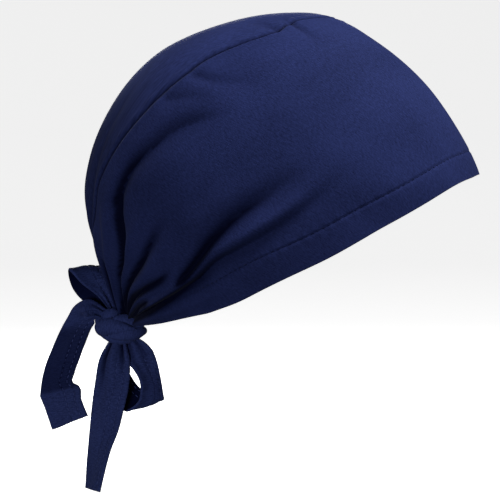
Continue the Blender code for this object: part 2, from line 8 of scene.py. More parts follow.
import bpy
import numpy as np
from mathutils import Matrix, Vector


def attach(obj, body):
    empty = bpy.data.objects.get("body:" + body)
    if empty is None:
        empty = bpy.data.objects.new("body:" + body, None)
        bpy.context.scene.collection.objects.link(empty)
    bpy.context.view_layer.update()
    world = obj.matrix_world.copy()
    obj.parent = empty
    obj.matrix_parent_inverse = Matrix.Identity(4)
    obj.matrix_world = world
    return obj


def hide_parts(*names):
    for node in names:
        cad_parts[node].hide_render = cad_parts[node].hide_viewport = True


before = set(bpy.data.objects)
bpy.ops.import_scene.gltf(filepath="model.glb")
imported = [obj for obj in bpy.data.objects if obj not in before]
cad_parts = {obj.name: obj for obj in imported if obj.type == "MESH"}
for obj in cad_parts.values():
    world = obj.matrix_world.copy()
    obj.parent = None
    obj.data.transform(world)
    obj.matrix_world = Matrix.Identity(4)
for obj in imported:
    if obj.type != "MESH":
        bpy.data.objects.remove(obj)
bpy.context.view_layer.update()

# Sizes of the cap in metres. The wall thins above the hem over HEM_STEP
HALF_LENGTH = 0.1143
HALF_WIDTH = 0.080
HEM_HALF_LENGTH = 0.290
CLOTH = 0.0012
HEM_WIDTH = 0.016
HEM_EXTRA = 0.0010
HEM_STEP = 0.0016
GAP = 0.0003
TIE_WIDTH = 0.024
TIE_THICKNESS = 0.0013
KNOT_LENGTH = 0.0256
KNOT_HEIGHT = 0.0200
KNOT_DEPTH = 0.0200
SEAT_FORWARD = 0.0104

# Power of the curve across the cap: 2 is an ellipse, and more is squarer
ROUNDNESS = 2.2

# The seat's height is read from the outline near this angle up from the front
SEAT_ANGLE = 85.0

# Turns a point of one side of the cap into that of the other
MIRROR = (-1.0, 1.0, 1.0)

# Height of the panels and of the ties over the knot's skin where they meet it, and
# the room that cloth on its way to the knot keeps from it
PANEL_TO_KNOT = -0.0012
TIE_TO_KNOT = -0.0008
KNOT_SPARE = 0.0012

# Turned edges of the panels along the inside of the seam
ALLOWANCE = 0.0045
ALLOWANCE_THICKNESS = 0.0008

# Seam: its dip, its dark line, and how far a fold of one panel is carried over it
SEAM_DIP = 0.0010
SEAM_DIP_WIDTH = 0.0013
SEAM_LINE = 0.0010
SEAM_CARRY = 0.0070

# Soft roll beside the seam: height, place and width, how much and over what lengths
# it is uneven, and the shares of the panel's length where it fades and over which
SEAM_ROLL = 0.0003
SEAM_ROLL_PLACE = 0.0030
SEAM_ROLL_WIDTH = 0.0016
SEAM_ROLL_UNEVEN = 0.45
SEAM_ROLL_LENGTH = 0.0031
SEAM_ROLL_WANDER = 1.7
SEAM_ROLL_WANDER_LENGTH = 0.0127
SEAM_ROLL_END = 0.60
SEAM_ROLL_FADE = 0.25

# Folds: what their widths and heights are shares of, the narrowest half width, and
# the powers that shape the sides of a valley and of a ridge
FOLD_WIDTH = 0.0100
FOLD_DEPTH = 0.0080
FINEST_FOLD = 0.0008
VALLEY_POWER = 1.4
RIDGE_POWER = 2.0

# Share of a fold's path after which it fades out, and share of the side panel's
# half length over which its two sides blend into one at the front
FADE_FROM = 0.7
FRONT_CALM = 0.06

# Painted shade in the folds' valleys, darkening the cloth's colour: strength, spread in
# fold widths, and what it is multiplied by where it is slight and where it is full
CREASE_SHADE = 0.72
CREASE_SPREAD = 1.05
CREASE_SHALLOW = 0.70
CREASE_DEEP = 1.30

# Painted shade along the seam, in the groove of the hem's stitched line, and on the
# panels' ends where they meet the knot, from a share of their length on
SEAM_SHADE = 0.85
HEM_LINE_SHADE = 0.10
KNOT_SHADE = 0.45
KNOT_SHADE_FROM = 0.955

# Painted shade in the grooves of the knot, up to a rise that is a share of its height,
# and on the insides of the loops, which falls off towards their ends by a power
KNOT_GROOVE_SHADE = 0.78
KNOT_GROOVE_SHADE_SHARE = 0.03
LOOP_SHADE = 1.0
LOOP_SHADE_POWER = 0.3

# Hem stitching: its groove, and the puckers beside it
STITCH_GROOVE = 0.0004
STITCH_GROOVE_WIDTH = 0.0008
PUCKER = 0.00013
PUCKER_PITCH = 0.0075
PUCKER_WANDER = 1.3
PUCKER_WANDER_LENGTH = 0.011
PUCKER_REACH = 0.30 * HEM_WIDTH

# One stitch, the share of its pitch before the first one, the share of the side
# panel's length that is stitched, and the share of a tie before its first stitch
STITCH_PITCH = 0.0032
STITCH_LENGTH = 0.0021
STITCH_WIDTH = 0.0006
STITCH_HEIGHT = 0.0003
FIRST_STITCH = 0.15
STITCHED_SHARE = 0.72
TAPE_STITCH_START = 0.14

# Rings along a stitch: share of its length, and width and height as shares of its
# own. Points across a ring: aside and up. How deep it sits in the cloth
STITCH_RINGS = ((0.0, 0.3, 0.1), (0.15, 0.9, 0.8), (0.5, 1.0, 1.0), (0.85, 0.9, 0.8), (1.0, 0.3, 0.1))
STITCH_SECTION = ((-1.0, 0.0), (-0.6, 0.8), (0.6, 0.8), (1.0, 0.0))
STITCH_SINK = 0.3

# Numbers of faces along and across each sheet, and round and along the knot
SIDE_STEPS = (440, 108)
CROWN_STEPS = (200, 60)
RIBBON_STEPS = (180, 40)
KNOT_STEPS = (240, 120)

# Rows of faces in the hem, and how they crowd: the side panel's along it towards the
# knot and across it towards its edges, and the crown panel's towards the seam
HEM_FACES = 18
SIDE_CLOSING = 0.6
CROWDING = 0.70
CROWN_CROWDING = 1.35

# Points taken along a curve, a fold and a wrap
CURVE_SAMPLES = 400
FOLD_SAMPLES = 40
WRAP_SAMPLES = 16

# Share of a point's height that counts along the crown panel's flat cloth
CROWN_FLAT_DROP = 0.7

# Mid-plane outline: angle up from the front in degrees, radius / HALF_LENGTH
PROFILE = (
    (4.0, 1.003), (13.0, 0.962), (22.0, 0.929), (36.0, 0.901),
    (48.0, 0.888), (60.0, 0.889), (68.0, 0.901), (79.0, 0.906),
    (87.0, 0.896), (98.0, 0.889), (111.0, 0.892), (122.0, 0.910),
    (130.0, 0.929), (142.0, 0.947), (155.0, 0.963), (171.0, 0.988),
    (181.0, 1.000), (188.0, 0.995), (196.0, 0.980), (205.0, 0.975),
    (220.0, 0.985), (235.0, 0.990), (253.0, 1.110), (275.0, 1.210),
    (295.0, 1.234), (310.0, 1.218), (325.0, 1.140), (340.0, 1.040),
)

# Lower edge: bearing from the front and rise, in degrees
HEM = (
    (0.0, 4.7), (15.0, 3.8), (30.0, 0.0), (52.0, -12.4), (76.0, -26.8),
    (104.0, -38.1), (120.0, -42.1), (131.0, -43.3), (155.0, -44.0),
    (173.5, -43.8),
)

# Seam between the two panels: angle up from the front and side angle, in degrees
SEAM = (
    (71.5, 0.0), (72.6, 5.5), (75.8, 10.7), (81.2, 15.8), (86.8, 19.3),
    (92.0, 25.0), (97.0, 27.2), (102.4, 28.4), (112.9, 29.7),
    (122.0, 30.4), (132.0, 31.5), (143.0, 30.6), (151.0, 29.2),
    (158.4, 27.1), (165.0, 24.7), (172.4, 21.6), (178.0, 19.0),
    (183.2, 17.6), (188.0, 14.8), (194.3, 9.0), (201.0, 6.5),
    (209.0, 5.0), (215.0, 3.6),
)

# Crown middle line: where it starts behind the seam's front and where it ends,
# as angles up from the front in degrees
CROWN_MIDDLE = (84.0, 213.0)

# Width of the turned hem along the panel, as shares of HEM_WIDTH: it is pulled
# wider at the back of the side and gathered at the knot
HEM_ROWS = (
    (0.0, 0.80), (0.30, 0.86), (0.45, 0.97), (0.60, 1.18),
    (0.70, 1.16), (0.80, 0.97), (0.90, 0.65), (1.0, 0.22),
)

# Folds of the side panel: path of (along, across), width at the knot end and at
# the far end in fold widths, height at both ends in fold depths (valleys are
# negative), and lean (how much wider the fold is on the seam side of its path)
SIDE_FOLDS = (
    ("deep crease",
     ((1.0, 0.63), (0.90, 0.60), (0.81, 0.652), (0.76, 0.738), (0.72, 0.800), (0.68, 0.860)),
     (0.16, 0.38), (-0.95, -0.85), 0.40),
    ("deep crease bend",
     ((0.70, 0.84), (0.635, 0.875), (0.58, 0.868), (0.515, 0.85), (0.463, 0.80), (0.40, 0.70)),
     (0.40, 0.85), (-0.66, -0.20), 0.35),
    ("tube beside the deep crease",
     ((0.97, 0.72), (0.89, 0.71), (0.83, 0.78), (0.76, 0.86), (0.70, 0.93)),
     (0.22, 0.50), (0.36, 0.24), 0.0),
    ("nape valley", ((1.0, 0.82), (0.96, 0.80), (0.91, 0.84), (0.86, 0.90)),
     (0.11, 0.22), (-0.60, -0.36), 0.0),
    ("nape ridge", ((0.99, 0.93), (0.94, 0.93), (0.88, 0.95), (0.82, 0.96), (0.77, 0.97)),
     (0.45, 0.50), (0.76, 0.05), 0.0),
    ("ridge beside the deep crease",
     ((0.97, 0.53), (0.90, 0.53), (0.83, 0.59), (0.77, 0.64), (0.69, 0.66), (0.61, 0.70)),
     (0.16, 0.42), (0.40, 0.16), 0.0),
    ("second valley",
     ((0.99, 0.50), (0.93, 0.485), (0.865, 0.48), (0.79, 0.52), (0.72, 0.545), (0.66, 0.58),
      (0.60, 0.62)),
     (0.12, 0.40), (-0.95, -0.16), 0.15),
    ("broad ridge",
     ((0.96, 0.43), (0.89, 0.43), (0.79, 0.45), (0.71, 0.47), (0.63, 0.488), (0.565, 0.475),
      (0.463, 0.444)),
     (0.20, 0.90), (0.46, 0.14), 0.0),
    ("third valley",
     ((0.98, 0.40), (0.93, 0.395), (0.86, 0.38), (0.80, 0.372), (0.74, 0.362), (0.70, 0.375)),
     (0.11, 0.28), (-0.70, -0.26), 0.15),
    ("third ridge",
     ((0.97, 0.345), (0.90, 0.342), (0.82, 0.335), (0.755, 0.338), (0.70, 0.365), (0.65, 0.42)),
     (0.12, 0.36), (0.36, 0.14), 0.0),
    ("short valley", ((0.985, 0.30), (0.93, 0.295), (0.86, 0.277), (0.82, 0.27)),
     (0.10, 0.18), (-0.46, -0.12), 0.0),
    ("long upper valley",
     ((0.75, 0.285), (0.71, 0.292), (0.66, 0.325), (0.615, 0.358), (0.55, 0.382), (0.478, 0.375),
      (0.37, 0.356)),
     (0.13, 0.60), (-0.84, -0.44), -0.10),
    ("long ridge",
     ((0.90, 0.235), (0.82, 0.25), (0.755, 0.262), (0.68, 0.277), (0.62, 0.290), (0.545, 0.278),
      (0.455, 0.275), (0.335, 0.319)),
     (0.15, 0.50), (0.56, 0.28), 0.0),
    ("long lower valley",
     ((0.99, 0.22), (0.93, 0.205), (0.85, 0.200), (0.77, 0.228), (0.71, 0.226), (0.65, 0.252),
      (0.578, 0.231), (0.485, 0.225), (0.39, 0.244), (0.29, 0.30)),
     (0.14, 0.70), (-0.90, -0.12), 0.15),
    ("ridge above the hem", ((0.98, 0.13), (0.90, 0.12), (0.80, 0.118), (0.70, 0.125), (0.60, 0.122)),
     (0.18, 0.50), (0.28, 0.12), 0.0),
    ("upper dent", ((0.413, 0.965), (0.40, 0.894), (0.375, 0.82), (0.345, 0.763)),
     (0.35, 0.60), (-0.24, -0.10), 0.0),
    ("rear dent", ((0.485, 0.963), (0.453, 0.906), (0.422, 0.844)),
     (0.35, 0.50), (-0.16, -0.06), 0.0),
    ("wrinkle from the seam", ((0.172, 0.995), (0.186, 0.93), (0.199, 0.86), (0.205, 0.795)),
     (0.16, 0.30), (-0.20, -0.08), 0.0),
)

# Folds of the crown panel: across runs from 0 at the seam to 1 at the middle line
CROWN_FOLDS = (
    ("rear valley",
     ((0.97, 0.45), (0.86, 0.30), (0.735, 0.20), (0.69, 0.25), (0.64, 0.33), (0.557, 0.41),
      (0.50, 0.45), (0.42, 0.60)),
     (0.18, 0.55), (-0.24, -0.08), 0.0),
    ("rear middle valley", ((0.99, 0.85), (0.90, 0.75), (0.80, 0.66), (0.68, 0.62), (0.58, 0.70)),
     (0.14, 0.35), (-0.20, -0.06), 0.0),
    ("rear ridge", ((0.98, 0.65), (0.88, 0.52), (0.78, 0.42), (0.68, 0.43), (0.60, 0.52)),
     (0.16, 0.40), (0.16, 0.05), 0.0),
    ("top dent", ((0.21, 0.04), (0.213, 0.25), (0.222, 0.51)),
     (0.26, 0.60), (-0.20, -0.06), 0.0),
)

# Folds that start softly, and the share of their path over which they do
SOFT_STARTS = ("long upper valley",)
SOFT_START = 0.18

# The far side has the same folds, a little calmer and shifted by up to this much, by
# a wave that turns this far from one fold to the next
FAR_SHARE = 0.85
FAR_SHIFT = 0.03
FAR_TURN = 2.1

# Middle of the knot as (side, forward, up), in half lengths of the cap
KNOT_MIDDLE = (0.0, -0.817, -0.6955)

# Share of a panel's length that is drawn in to the knot, and share of a tie's
KNOT_REACH = 0.12
TIE_REACH = 0.10

# Wraps of the knot: which side, path of (forward, up) as shares of its half
# sizes, half widths along it and height as shares of KNOT_HEIGHT
KNOT_WRAPS = (
    ("lump", 1, ((-0.96, 0.42), (-0.78, 0.66), (-0.34, 0.80)), (0.20, 0.27, 0.16), 0.17),
    ("sweeping band", 1, ((-0.97, -0.02), (-0.48, 0.10), (0.10, 0.02), (0.55, -0.06)),
     (0.28, 0.25, 0.17, 0.05), 0.14),
    ("leaf", 1, ((-0.42, -0.42), (0.10, -0.44), (0.62, -0.38), (0.95, -0.22)),
     (0.06, 0.17, 0.23, 0.14), 0.15),
    ("top wrap", 1, ((-0.20, 0.50), (0.22, 0.52), (0.62, 0.36), (0.93, 0.10)),
     (0.10, 0.18, 0.17, 0.10), 0.08),
    ("bottom wrap", 1, ((-0.74, -0.56), (-0.20, -0.86), (0.55, -0.80)), (0.12, 0.15, 0.12), 0.05),
    ("far upper wrap", -1, ((-0.95, 0.30), (-0.10, 0.42), (0.80, 0.52)), (0.21, 0.23, 0.15), 0.11),
    ("far lower wrap", -1, ((-0.85, -0.42), (0.00, -0.36), (0.90, -0.10)), (0.16, 0.22, 0.15), 0.08),
)

# Power that rounds a wrap, and the least square of its distance from the knot's middle plane
WRAP_POWER = 0.7
WRAP_NEAREST = 0.02

# Ties and bow: each row gives the two edges of the tape as
# (forward, up, side) from the middle of the knot, in tie widths
LOOP_REAR = (
    (-0.29, 0.41, -0.04, -0.15, 0.47, 0.00),
    (-0.58, 0.75, 0.04, -0.27, 0.87, 0.00),
    (-0.94, 1.06, 0.17, -0.37, 1.21, -0.12),
    (-1.18, 1.33, 0.12, -0.46, 1.40, -0.32),
    (-1.29, 1.39, -0.12, -0.53, 1.45, -0.55),
    (-1.30, 1.21, -0.38, -0.48, 1.33, -0.62),
    (-1.21, 0.92, -0.42, -0.38, 1.08, -0.60),
    (-0.94, 0.60, -0.33, -0.24, 0.80, -0.46),
    (-0.41, 0.31, -0.21, -0.12, 0.42, -0.27),
)
LOOP_FRONT = (
    (0.18, -0.44, 0.08, 0.50, -0.32, 0.20),
    (0.12, -0.60, 0.12, 0.70, -0.43, 0.29),
    (0.16, -0.82, 0.18, 0.83, -0.70, 0.20),
    (0.36, -1.06, 0.34, 0.92, -0.99, 0.12),
    (0.48, -1.28, 0.44, 0.97, -1.28, 0.08),
    (0.50, -1.53, 0.44, 1.01, -1.52, 0.06),
    (0.42, -1.82, 0.30, 1.04, -1.68, 0.04),
    (0.12, -2.04, 0.10, 1.03, -1.76, -0.04),
    (-0.10, -1.84, -0.06, 0.75, -1.67, -0.17),
    (-0.27, -1.47, -0.14, 0.43, -1.50, -0.25),
    (-0.36, -1.04, -0.14, 0.19, -1.16, -0.29),
    (-0.34, -0.60, -0.10, 0.00, -0.70, -0.21),
    (-0.27, -0.43, -0.08, -0.02, -0.46, -0.21),
)
TAIL_REAR = (
    (-0.31, 0.44, 0.12, -0.41, 0.20, 0.25),
    (-0.70, 0.66, 0.02, -0.62, 0.25, 0.36),
    (-1.00, 0.60, -0.04, -0.80, 0.22, 0.42),
    (-1.15, 0.48, -0.12, -0.80, 0.24, 0.34),
    (-1.32, 0.22, -0.18, -0.60, 0.27, 0.16),
    (-1.52, -0.14, -0.24, -0.74, -0.05, 0.14),
    (-1.71, -0.56, -0.32, -0.89, -0.43, 0.08),
    (-1.86, -0.92, -0.38, -1.02, -0.78, 0.00),
    (-1.96, -1.28, -0.44, -1.14, -1.12, -0.06),
    (-2.00, -1.54, -0.47, -1.18, -1.36, -0.10),
    (-2.01, -1.66, -0.44, -1.05, -1.42, -0.04),
    (-1.88, -2.02, -0.30, -0.97, -1.74, 0.08),
    (-1.69, -2.51, -0.10, -0.80, -2.13, 0.26),
)
TAIL_LOWER = (
    (-0.36, -0.35, 0.08, 0.14, -0.41, 0.25),
    (-0.53, -0.75, 0.00, 0.21, -0.75, 0.29),
    (-0.66, -1.38, -0.17, 0.19, -1.38, 0.33),
    (-0.74, -1.96, -0.25, 0.07, -1.96, 0.33),
    (-0.79, -2.49, -0.33, -0.07, -2.49, 0.38),
    (-0.83, -2.97, -0.40, -0.24, -2.92, 0.42),
    (-0.87, -3.45, -0.44, -0.39, -3.45, 0.46),
    (-0.90, -3.96, -0.46, -0.51, -3.95, 0.48),
)

# Bow: each tape's node, edges, whether it is a loop, and its length laid flat in metres
BOW = (
    ("loop_rear", LOOP_REAR, True, 0.052),
    ("loop_front", LOOP_FRONT, True, 0.080),
    ("tail_rear", TAIL_REAR, False, 0.085),
    ("tail_lower", TAIL_LOWER, False, 0.090),
)

# Pleats of the ties: middle and width across the tape, height in tie
# thicknesses, and the shares of the tape's length where the pleat starts and ends.
# Painted shade in a pleat's valley, and share of the tape over which one that starts
# part of the way along fades in and out
PLEATS = {
    "loop_rear": (
        (0.20, 0.07, -0.9, 0.00, 0.30), (0.42, 0.08, 0.7, 0.00, 0.26), (0.62, 0.06, -1.0, 0.00, 0.34),
        (0.82, 0.07, 0.6, 0.00, 0.22), (0.30, 0.10, -0.7, 0.72, 1.00), (0.65, 0.10, -0.7, 0.74, 1.00),
    ),
    "loop_front": (
        (0.22, 0.07, -1.2, 0.00, 0.26), (0.45, 0.10, 1.1, 0.00, 0.34), (0.68, 0.06, -1.2, 0.00, 0.24),
        (0.85, 0.07, 0.6, 0.00, 0.20), (0.35, 0.10, -0.8, 0.78, 1.00), (0.70, 0.10, -0.6, 0.76, 1.00),
    ),
    "tail_rear": (
        (0.30, 0.08, -0.8, 0.00, 0.16), (0.55, 0.09, 0.6, 0.00, 0.18), (0.78, 0.07, -0.8, 0.00, 0.16),
    ),
    "tail_lower": (
        (0.20, 0.06, -2.2, 0.00, 0.42), (0.46, 0.12, 2.0, 0.00, 0.50), (0.74, 0.07, -2.4, 0.00, 0.26),
        (0.90, 0.06, 0.8, 0.00, 0.30), (0.56, 0.30, 0.7, 0.30, 0.90),
    ),
}
PLEAT_SHADE = 0.50
PLEAT_FADE = 0.1

# Painted shade on a tie that hangs turned away from the light: its start and end along
# the tape, and its strength. Its fades at both ends, and the painted dark line and the
# ridge at its end
TURNED_AWAY = {"tail_rear": (0.26, 0.765, 0.62)}
TURN_FADE_IN = 0.10
TURN_FADE_OUT = 0.012
TURN_LINE = 0.35
TURN_LINE_WIDTH = 0.006
TURN_RIDGE = 0.5
TURN_RIDGE_PLACE = 0.012
TURN_RIDGE_WIDTH = 0.010

# Stitched band along each tie: its two lines across the tape, width of a line as a
# share of the tape, depth in tie thicknesses, painted shade in its grooves, wander with
# its length and its turn from line to line, and beat with the stitches
BAND_LINES = (0.60, 0.84)
BAND_LINE_WIDTH = 0.022
BAND_DEPTH = 0.30
BAND_SHADE = 0.38
BAND_WANDER = 0.006
BAND_WANDER_LENGTH = 0.0042
BAND_TURN = 2.0
BAND_BEAT = 0.25

# Rough cloth between the lines of the band: where it starts beside them, its height
# in tie thicknesses, its ripple's length and lean, and the ripple's wander
ROUGH_EDGE = 0.04
ROUGH_HEIGHT = 0.16
ROUGH_LENGTH = 0.0007
ROUGH_LEAN = 3.0
ROUGH_WANDER = 2.0
ROUGH_WANDER_LENGTH = 0.0023

# Edges of a tie: how far they drop in tie thicknesses, over what share of the tape,
# and by what share and power the tape thins towards them
RIM_DROP = 0.45
RIM_WIDTH = 0.012
RIM_THINNING = 0.7
RIM_POWER = 24

# Slow wave of a tie, in tie thicknesses, its length, its lean and where it starts.
# Length of a tie in tie widths, near enough for the pitch of its small forms
TAPE_WAVE = 0.5
TAPE_WAVE_LENGTH = 0.009
TAPE_WAVE_LEAN = 5.0
TAPE_WAVE_START = 0.2
TAPE_LENGTH = 4.0

# Colours of the panels, of the ties and knot, and of the thread of ties and hem. The ties
# and knot are the panels' cloth painted lighter, as painted light; the one thread is
# painted lighter on the ties, as painted light, and darker on the hem, as painted shade
NAVY = (0.0105, 0.0160, 0.065)
TIE_NAVY_PAINTED_LIGHTER = (0.0190, 0.0285, 0.104)
THREAD = (0.0360, 0.0500, 0.160)
HEM_THREAD_PAINTED_DARKER = (0.0050, 0.0076, 0.0320)

# The cloth's colour is multiplied by these in the weave's low parts, in its high
# parts, and where its painted shade is full
LOW_TONE = (0.52, 0.54, 0.58)
HIGH_TONE = (1.48, 1.46, 1.42)
PAINTED_SHADE_TONE = (0.03, 0.06, 0.16)

# Matte cloth with a faint sheen
CLOTH_FINISH = {
    "Roughness": 0.82,
    "Specular IOR Level": 0.04,
    "Sheen Weight": 0.03,
    "Sheen Roughness": 0.45,
    "Sheen Tint": (0.45, 0.52, 0.90, 1.0),
}

# Turn of the weave in degrees, and its stretch along the threads
WEAVE_TURN = 40.0
WEAVE_STRETCH = 0.40

# Sockets of the Mix node that hold its factor and its two colours, and its colour result
MIX_COLOUR_SOCKETS = (0, 6, 7)
MIX_COLOUR_RESULT = 2

# Camera: at the wearer's right side, level with the cap, with a long lens
CAMERA_RISE = 1.5
CAMERA_DISTANCE = 1.4
SENSOR_WIDTH = 36.0
VIEW_WIDTH = 0.290
CAMERA_AIM = (0.0, 0.029, -0.136)

# Lights: place, point that it is aimed at, width in metres and power in watts
LIGHTS = {
    "camera_side": ((-1.40, 0.45, -0.25), (0.0, 0.0, -0.14), 0.4, 9.8),
    "above_front": ((-0.32, -0.65, 1.28), (0.0, 0.0, -0.08), 0.5, 46.0),
    "far_side": ((1.40, 0.10, 0.25), (0.0, 0.0, -0.12), 0.5, 14.0),
    "behind": ((0.55, 1.40, 0.25), (0.0, 0.0, -0.14), 0.5, 3.0),
}
WORLD_LIGHT = 0.08
WHITE = (1.0, 1.0, 1.0, 1.0)

# Floor: its height, the rings of the floor and its wall as radius and rise, the
# number of points in a ring, and its finish, which glows a little
FLOOR_HEIGHT = -0.290
FLOOR_RINGS = (
    (2.0, 0.0), (3.0, 0.05), (3.8, 0.3), (4.4, 0.8), (4.8, 1.6),
    (5.0, 2.8), (4.8, 4.2), (3.6, 5.4), (1.5, 6.0),
)
FLOOR_STEPS = 72
FLOOR_FINISH = {
    "Base Color": (0.8, 0.8, 0.8, 1.0),
    "Roughness": 0.9,
    "Emission Color": WHITE,
    "Emission Strength": 0.72,
}


def smooth(xs, ys, x):
    """Smooth curve through (xs, ys), read at x."""
    xs = np.asarray(xs, float)
    ys = np.asarray(ys, float)
    step = np.diff(xs)
    slope = np.diff(ys) / step
    tangent = np.empty_like(ys)
    tangent[1:-1] = (slope[:-1] * step[1:] + slope[1:] * step[:-1]) / (step[:-1] + step[1:])
    tangent[0] = slope[0]
    tangent[-1] = slope[-1]
    x = np.clip(x, xs[0], xs[-1])
    i = np.clip(np.searchsorted(xs, x) - 1, 0, len(xs) - 2)
    t = (x - xs[i]) / step[i]
    return (
        (2 * t**3 - 3 * t**2 + 1) * ys[i]
        + (t**3 - 2 * t**2 + t) * step[i] * tangent[i]
        + (3 * t**2 - 2 * t**3) * ys[i + 1]
        + (t**3 - t**2) * step[i] * tangent[i + 1]
    )


def smooth_columns(xs, rows, x):
    """Smooth curve through each column of rows, read at x."""
    return [smooth(xs, column, x) for column in np.asarray(rows).T]


def profile_radius(angle):
    """Radius of the mid-plane outline at an angle in degrees."""
    rows = np.array(PROFILE)
    before = rows[-4:] - (360.0, 0.0)
    after = rows[:4] + (360.0, 0.0)
    rows = np.concatenate([before, rows, after])
    return smooth(rows[:, 0], rows[:, 1], np.mod(angle, 360.0)) * HALF_LENGTH


def crown_radius(direction):
    """Distance from the middle of the crown to the cloth, along unit directions."""
    side, forward, up = np.moveaxis(direction, -1, 0)
    flat = np.hypot(forward, up) / profile_radius(np.degrees(np.arctan2(up, forward)))
    across = np.abs(side) / HALF_WIDTH
    return (flat**ROUNDNESS + across**ROUNDNESS) ** (-1.0 / ROUNDNESS)


def unit(vectors):
    """Vectors scaled to a length of 1."""
    return vectors / np.linalg.norm(vectors, axis=-1, keepdims=True)


def hem_row_direction(bearing, rise):
    """Direction at a bearing from the front and a rise, in degrees."""
    bearing = np.radians(bearing)
    rise = np.radians(rise)
    flat = np.cos(rise)
    return np.stack([flat * np.sin(bearing), flat * np.cos(bearing), np.sin(rise)], -1)


def seam_row_direction(angle, side_angle):
    """Direction at an angle up from the front and an angle to the side, in degrees."""
    angle = np.radians(angle)
    side_angle = np.radians(side_angle)
    flat = np.cos(side_angle)
    return np.stack([np.sin(side_angle), flat * np.cos(angle), flat * np.sin(angle)], -1)


def path_length(points):
    """Length of a path from its start to each of its points."""
    return np.concatenate([[0.0], np.cumsum(np.linalg.norm(np.diff(points, axis=0), axis=1))])


def even_curve(rows, to_direction, share):
    """Direction at a share of the length of a curve given by its rows."""
    index = np.arange(len(rows))
    fine = np.linspace(0.0, len(rows) - 1.0, CURVE_SAMPLES)
    length = path_length(on_cloth(to_direction(*smooth_columns(index, rows, fine))))
    at = np.interp(np.asarray(share) * length[-1], length, fine)
    return to_direction(*smooth_columns(index, rows, at))


def between(start, end, share):
    """Direction at a share of the arc from one direction to another."""
    share = np.asarray(share)[..., None]
    angle = np.arccos(np.clip(np.sum(start * end, -1, keepdims=True), -1.0, 1.0))
    angle = np.maximum(angle, 1e-6)
    return unit((np.sin((1 - share) * angle) * start + np.sin(share * angle) * end) / np.sin(angle))


def side_direction(along, across):
    """Direction in the side panel: along 0 front to 1 knot, across 0 hem to 1 seam."""
    hem = even_curve(HEM, hem_row_direction, along)
    seam = even_curve(SEAM, seam_row_direction, along)
    return between(hem, seam, across)


def crown_direction(along, across):
    """Direction in the crown panel: across 0 seam to 1 middle line."""
    seam = even_curve(SEAM, seam_row_direction, along)
    start, end = CROWN_MIDDLE
    middle = seam_row_direction(start + (end - start) * np.asarray(along), 0.0 * np.asarray(along))
    return between(seam, middle, across)


def ease(x):
    """Smooth step from 0 to 1 as x goes from 0 to 1."""
    x = np.clip(x, 0.0, 1.0)
    return x * x * (3.0 - 2.0 * x)


def bell(distance, width, power=2):
    """Bell curve: 1 at no distance, falling off over a width."""
    return np.exp(-((distance / width) ** power))


def on_cloth(direction):
    """Point of the smooth cloth in a direction."""
    return direction * crown_radius(direction)[..., None]


def near_line(points, line):
    """Distance to a line of points, share of the way along it, and which side."""
    start = line[:-1]
    step = line[1:] - start
    offset = points[:, None, :] - start[None]
    share = np.clip(np.sum(offset * step, -1) / np.sum(step * step, -1), 0.0, 1.0)
    gap = offset - share[..., None] * step
    distance = np.linalg.norm(gap, axis=-1)
    best = np.argmin(distance, axis=1)
    pick = np.arange(len(points))
    along = (best + share[pick, best]) / len(step)
    turn = np.cross(step[best], points)
    side = np.sign(np.sum(turn * gap[pick, best], -1))
    return distance[pick, best], along, side


def fold_relief(points, folds, to_direction, far):
    """Height of the folds over the smooth cloth and the painted shade in their valleys, at each point."""
    flat = points.reshape(-1, 3)
    relief = np.zeros(len(flat))
    crease = np.zeros(len(flat))
    for number, (name, path, width, height, lean) in enumerate(folds):
        path = np.array(path)
        if far:
            path[:, 1] += FAR_SHIFT * math.sin(FAR_TURN * number + 1.0) * (1.0 - path[:, 0])
        key = np.linspace(0.0, 1.0, len(path))
        at = np.linspace(0.0, 1.0, FOLD_SAMPLES)
        line = on_cloth(to_direction(*smooth_columns(key, path, at)))
        distance, along, side = near_line(flat, line)
        here = FOLD_WIDTH * (width[0] + (width[1] - width[0]) * along) * (1.0 + lean * side)
        here = np.maximum(here, FINEST_FOLD)
        tall = FOLD_DEPTH * (height[0] + (height[1] - height[0]) * along)
        tall = tall * (1.0 - ease((along - FADE_FROM) / (1.0 - FADE_FROM)))
        if name in SOFT_STARTS:
            tall = tall * ease(along / SOFT_START)
        power = VALLEY_POWER if height[0] < 0.0 else RIDGE_POWER
        relief += tall * bell(distance, here, power) * (FAR_SHARE if far else 1.0)
        # Painted shade in the valley, stronger where it is steep
        steep = np.clip(-tall / here, 0.0, None)
        crease += CREASE_SHADE * steep * bell(distance, CREASE_SPREAD * here)
    crease = crease * (CREASE_SHALLOW + (CREASE_DEEP - CREASE_SHALLOW) * crease)
    return relief.reshape(points.shape[:-1]), crease.reshape(points.shape[:-1])


def knot_radius(direction):
    """Distance from the knot's middle to its skin along directions, and its wraps' rise."""
    half = 0.5 * np.array((KNOT_DEPTH, KNOT_LENGTH, KNOT_HEIGHT))
    flat = direction.reshape(-1, 3)
    base = 1.0 / np.linalg.norm(flat / half, axis=-1)
    points = flat * base[:, None]
    rise = np.zeros(len(flat))
    for _, which, path, widths, height in KNOT_WRAPS:
        key = np.linspace(0.0, 1.0, len(path))
        forward, up = smooth_columns(key, path, np.linspace(0.0, 1.0, WRAP_SAMPLES))
        side = which * np.sqrt(np.clip(1.0 - forward**2 - up**2, WRAP_NEAREST, 1.0))
        line = unit(np.stack([side, forward, up], -1)) * half
        distance, along = near_line(points, line)[:2]
        width = KNOT_HEIGHT * smooth(key, np.array(widths), along)
        bulge = np.clip(1.0 - (distance / width) ** 2, 0.0, 1.0) ** WRAP_POWER
        rise = np.maximum(rise, KNOT_HEIGHT * height * bulge)
    return (base + rise).reshape(direction.shape[:-1]), rise.reshape(direction.shape[:-1])


def knot_middle():
    """Middle of the knot as (side, forward, up), in metres."""
    return np.array(KNOT_MIDDLE) * HALF_LENGTH


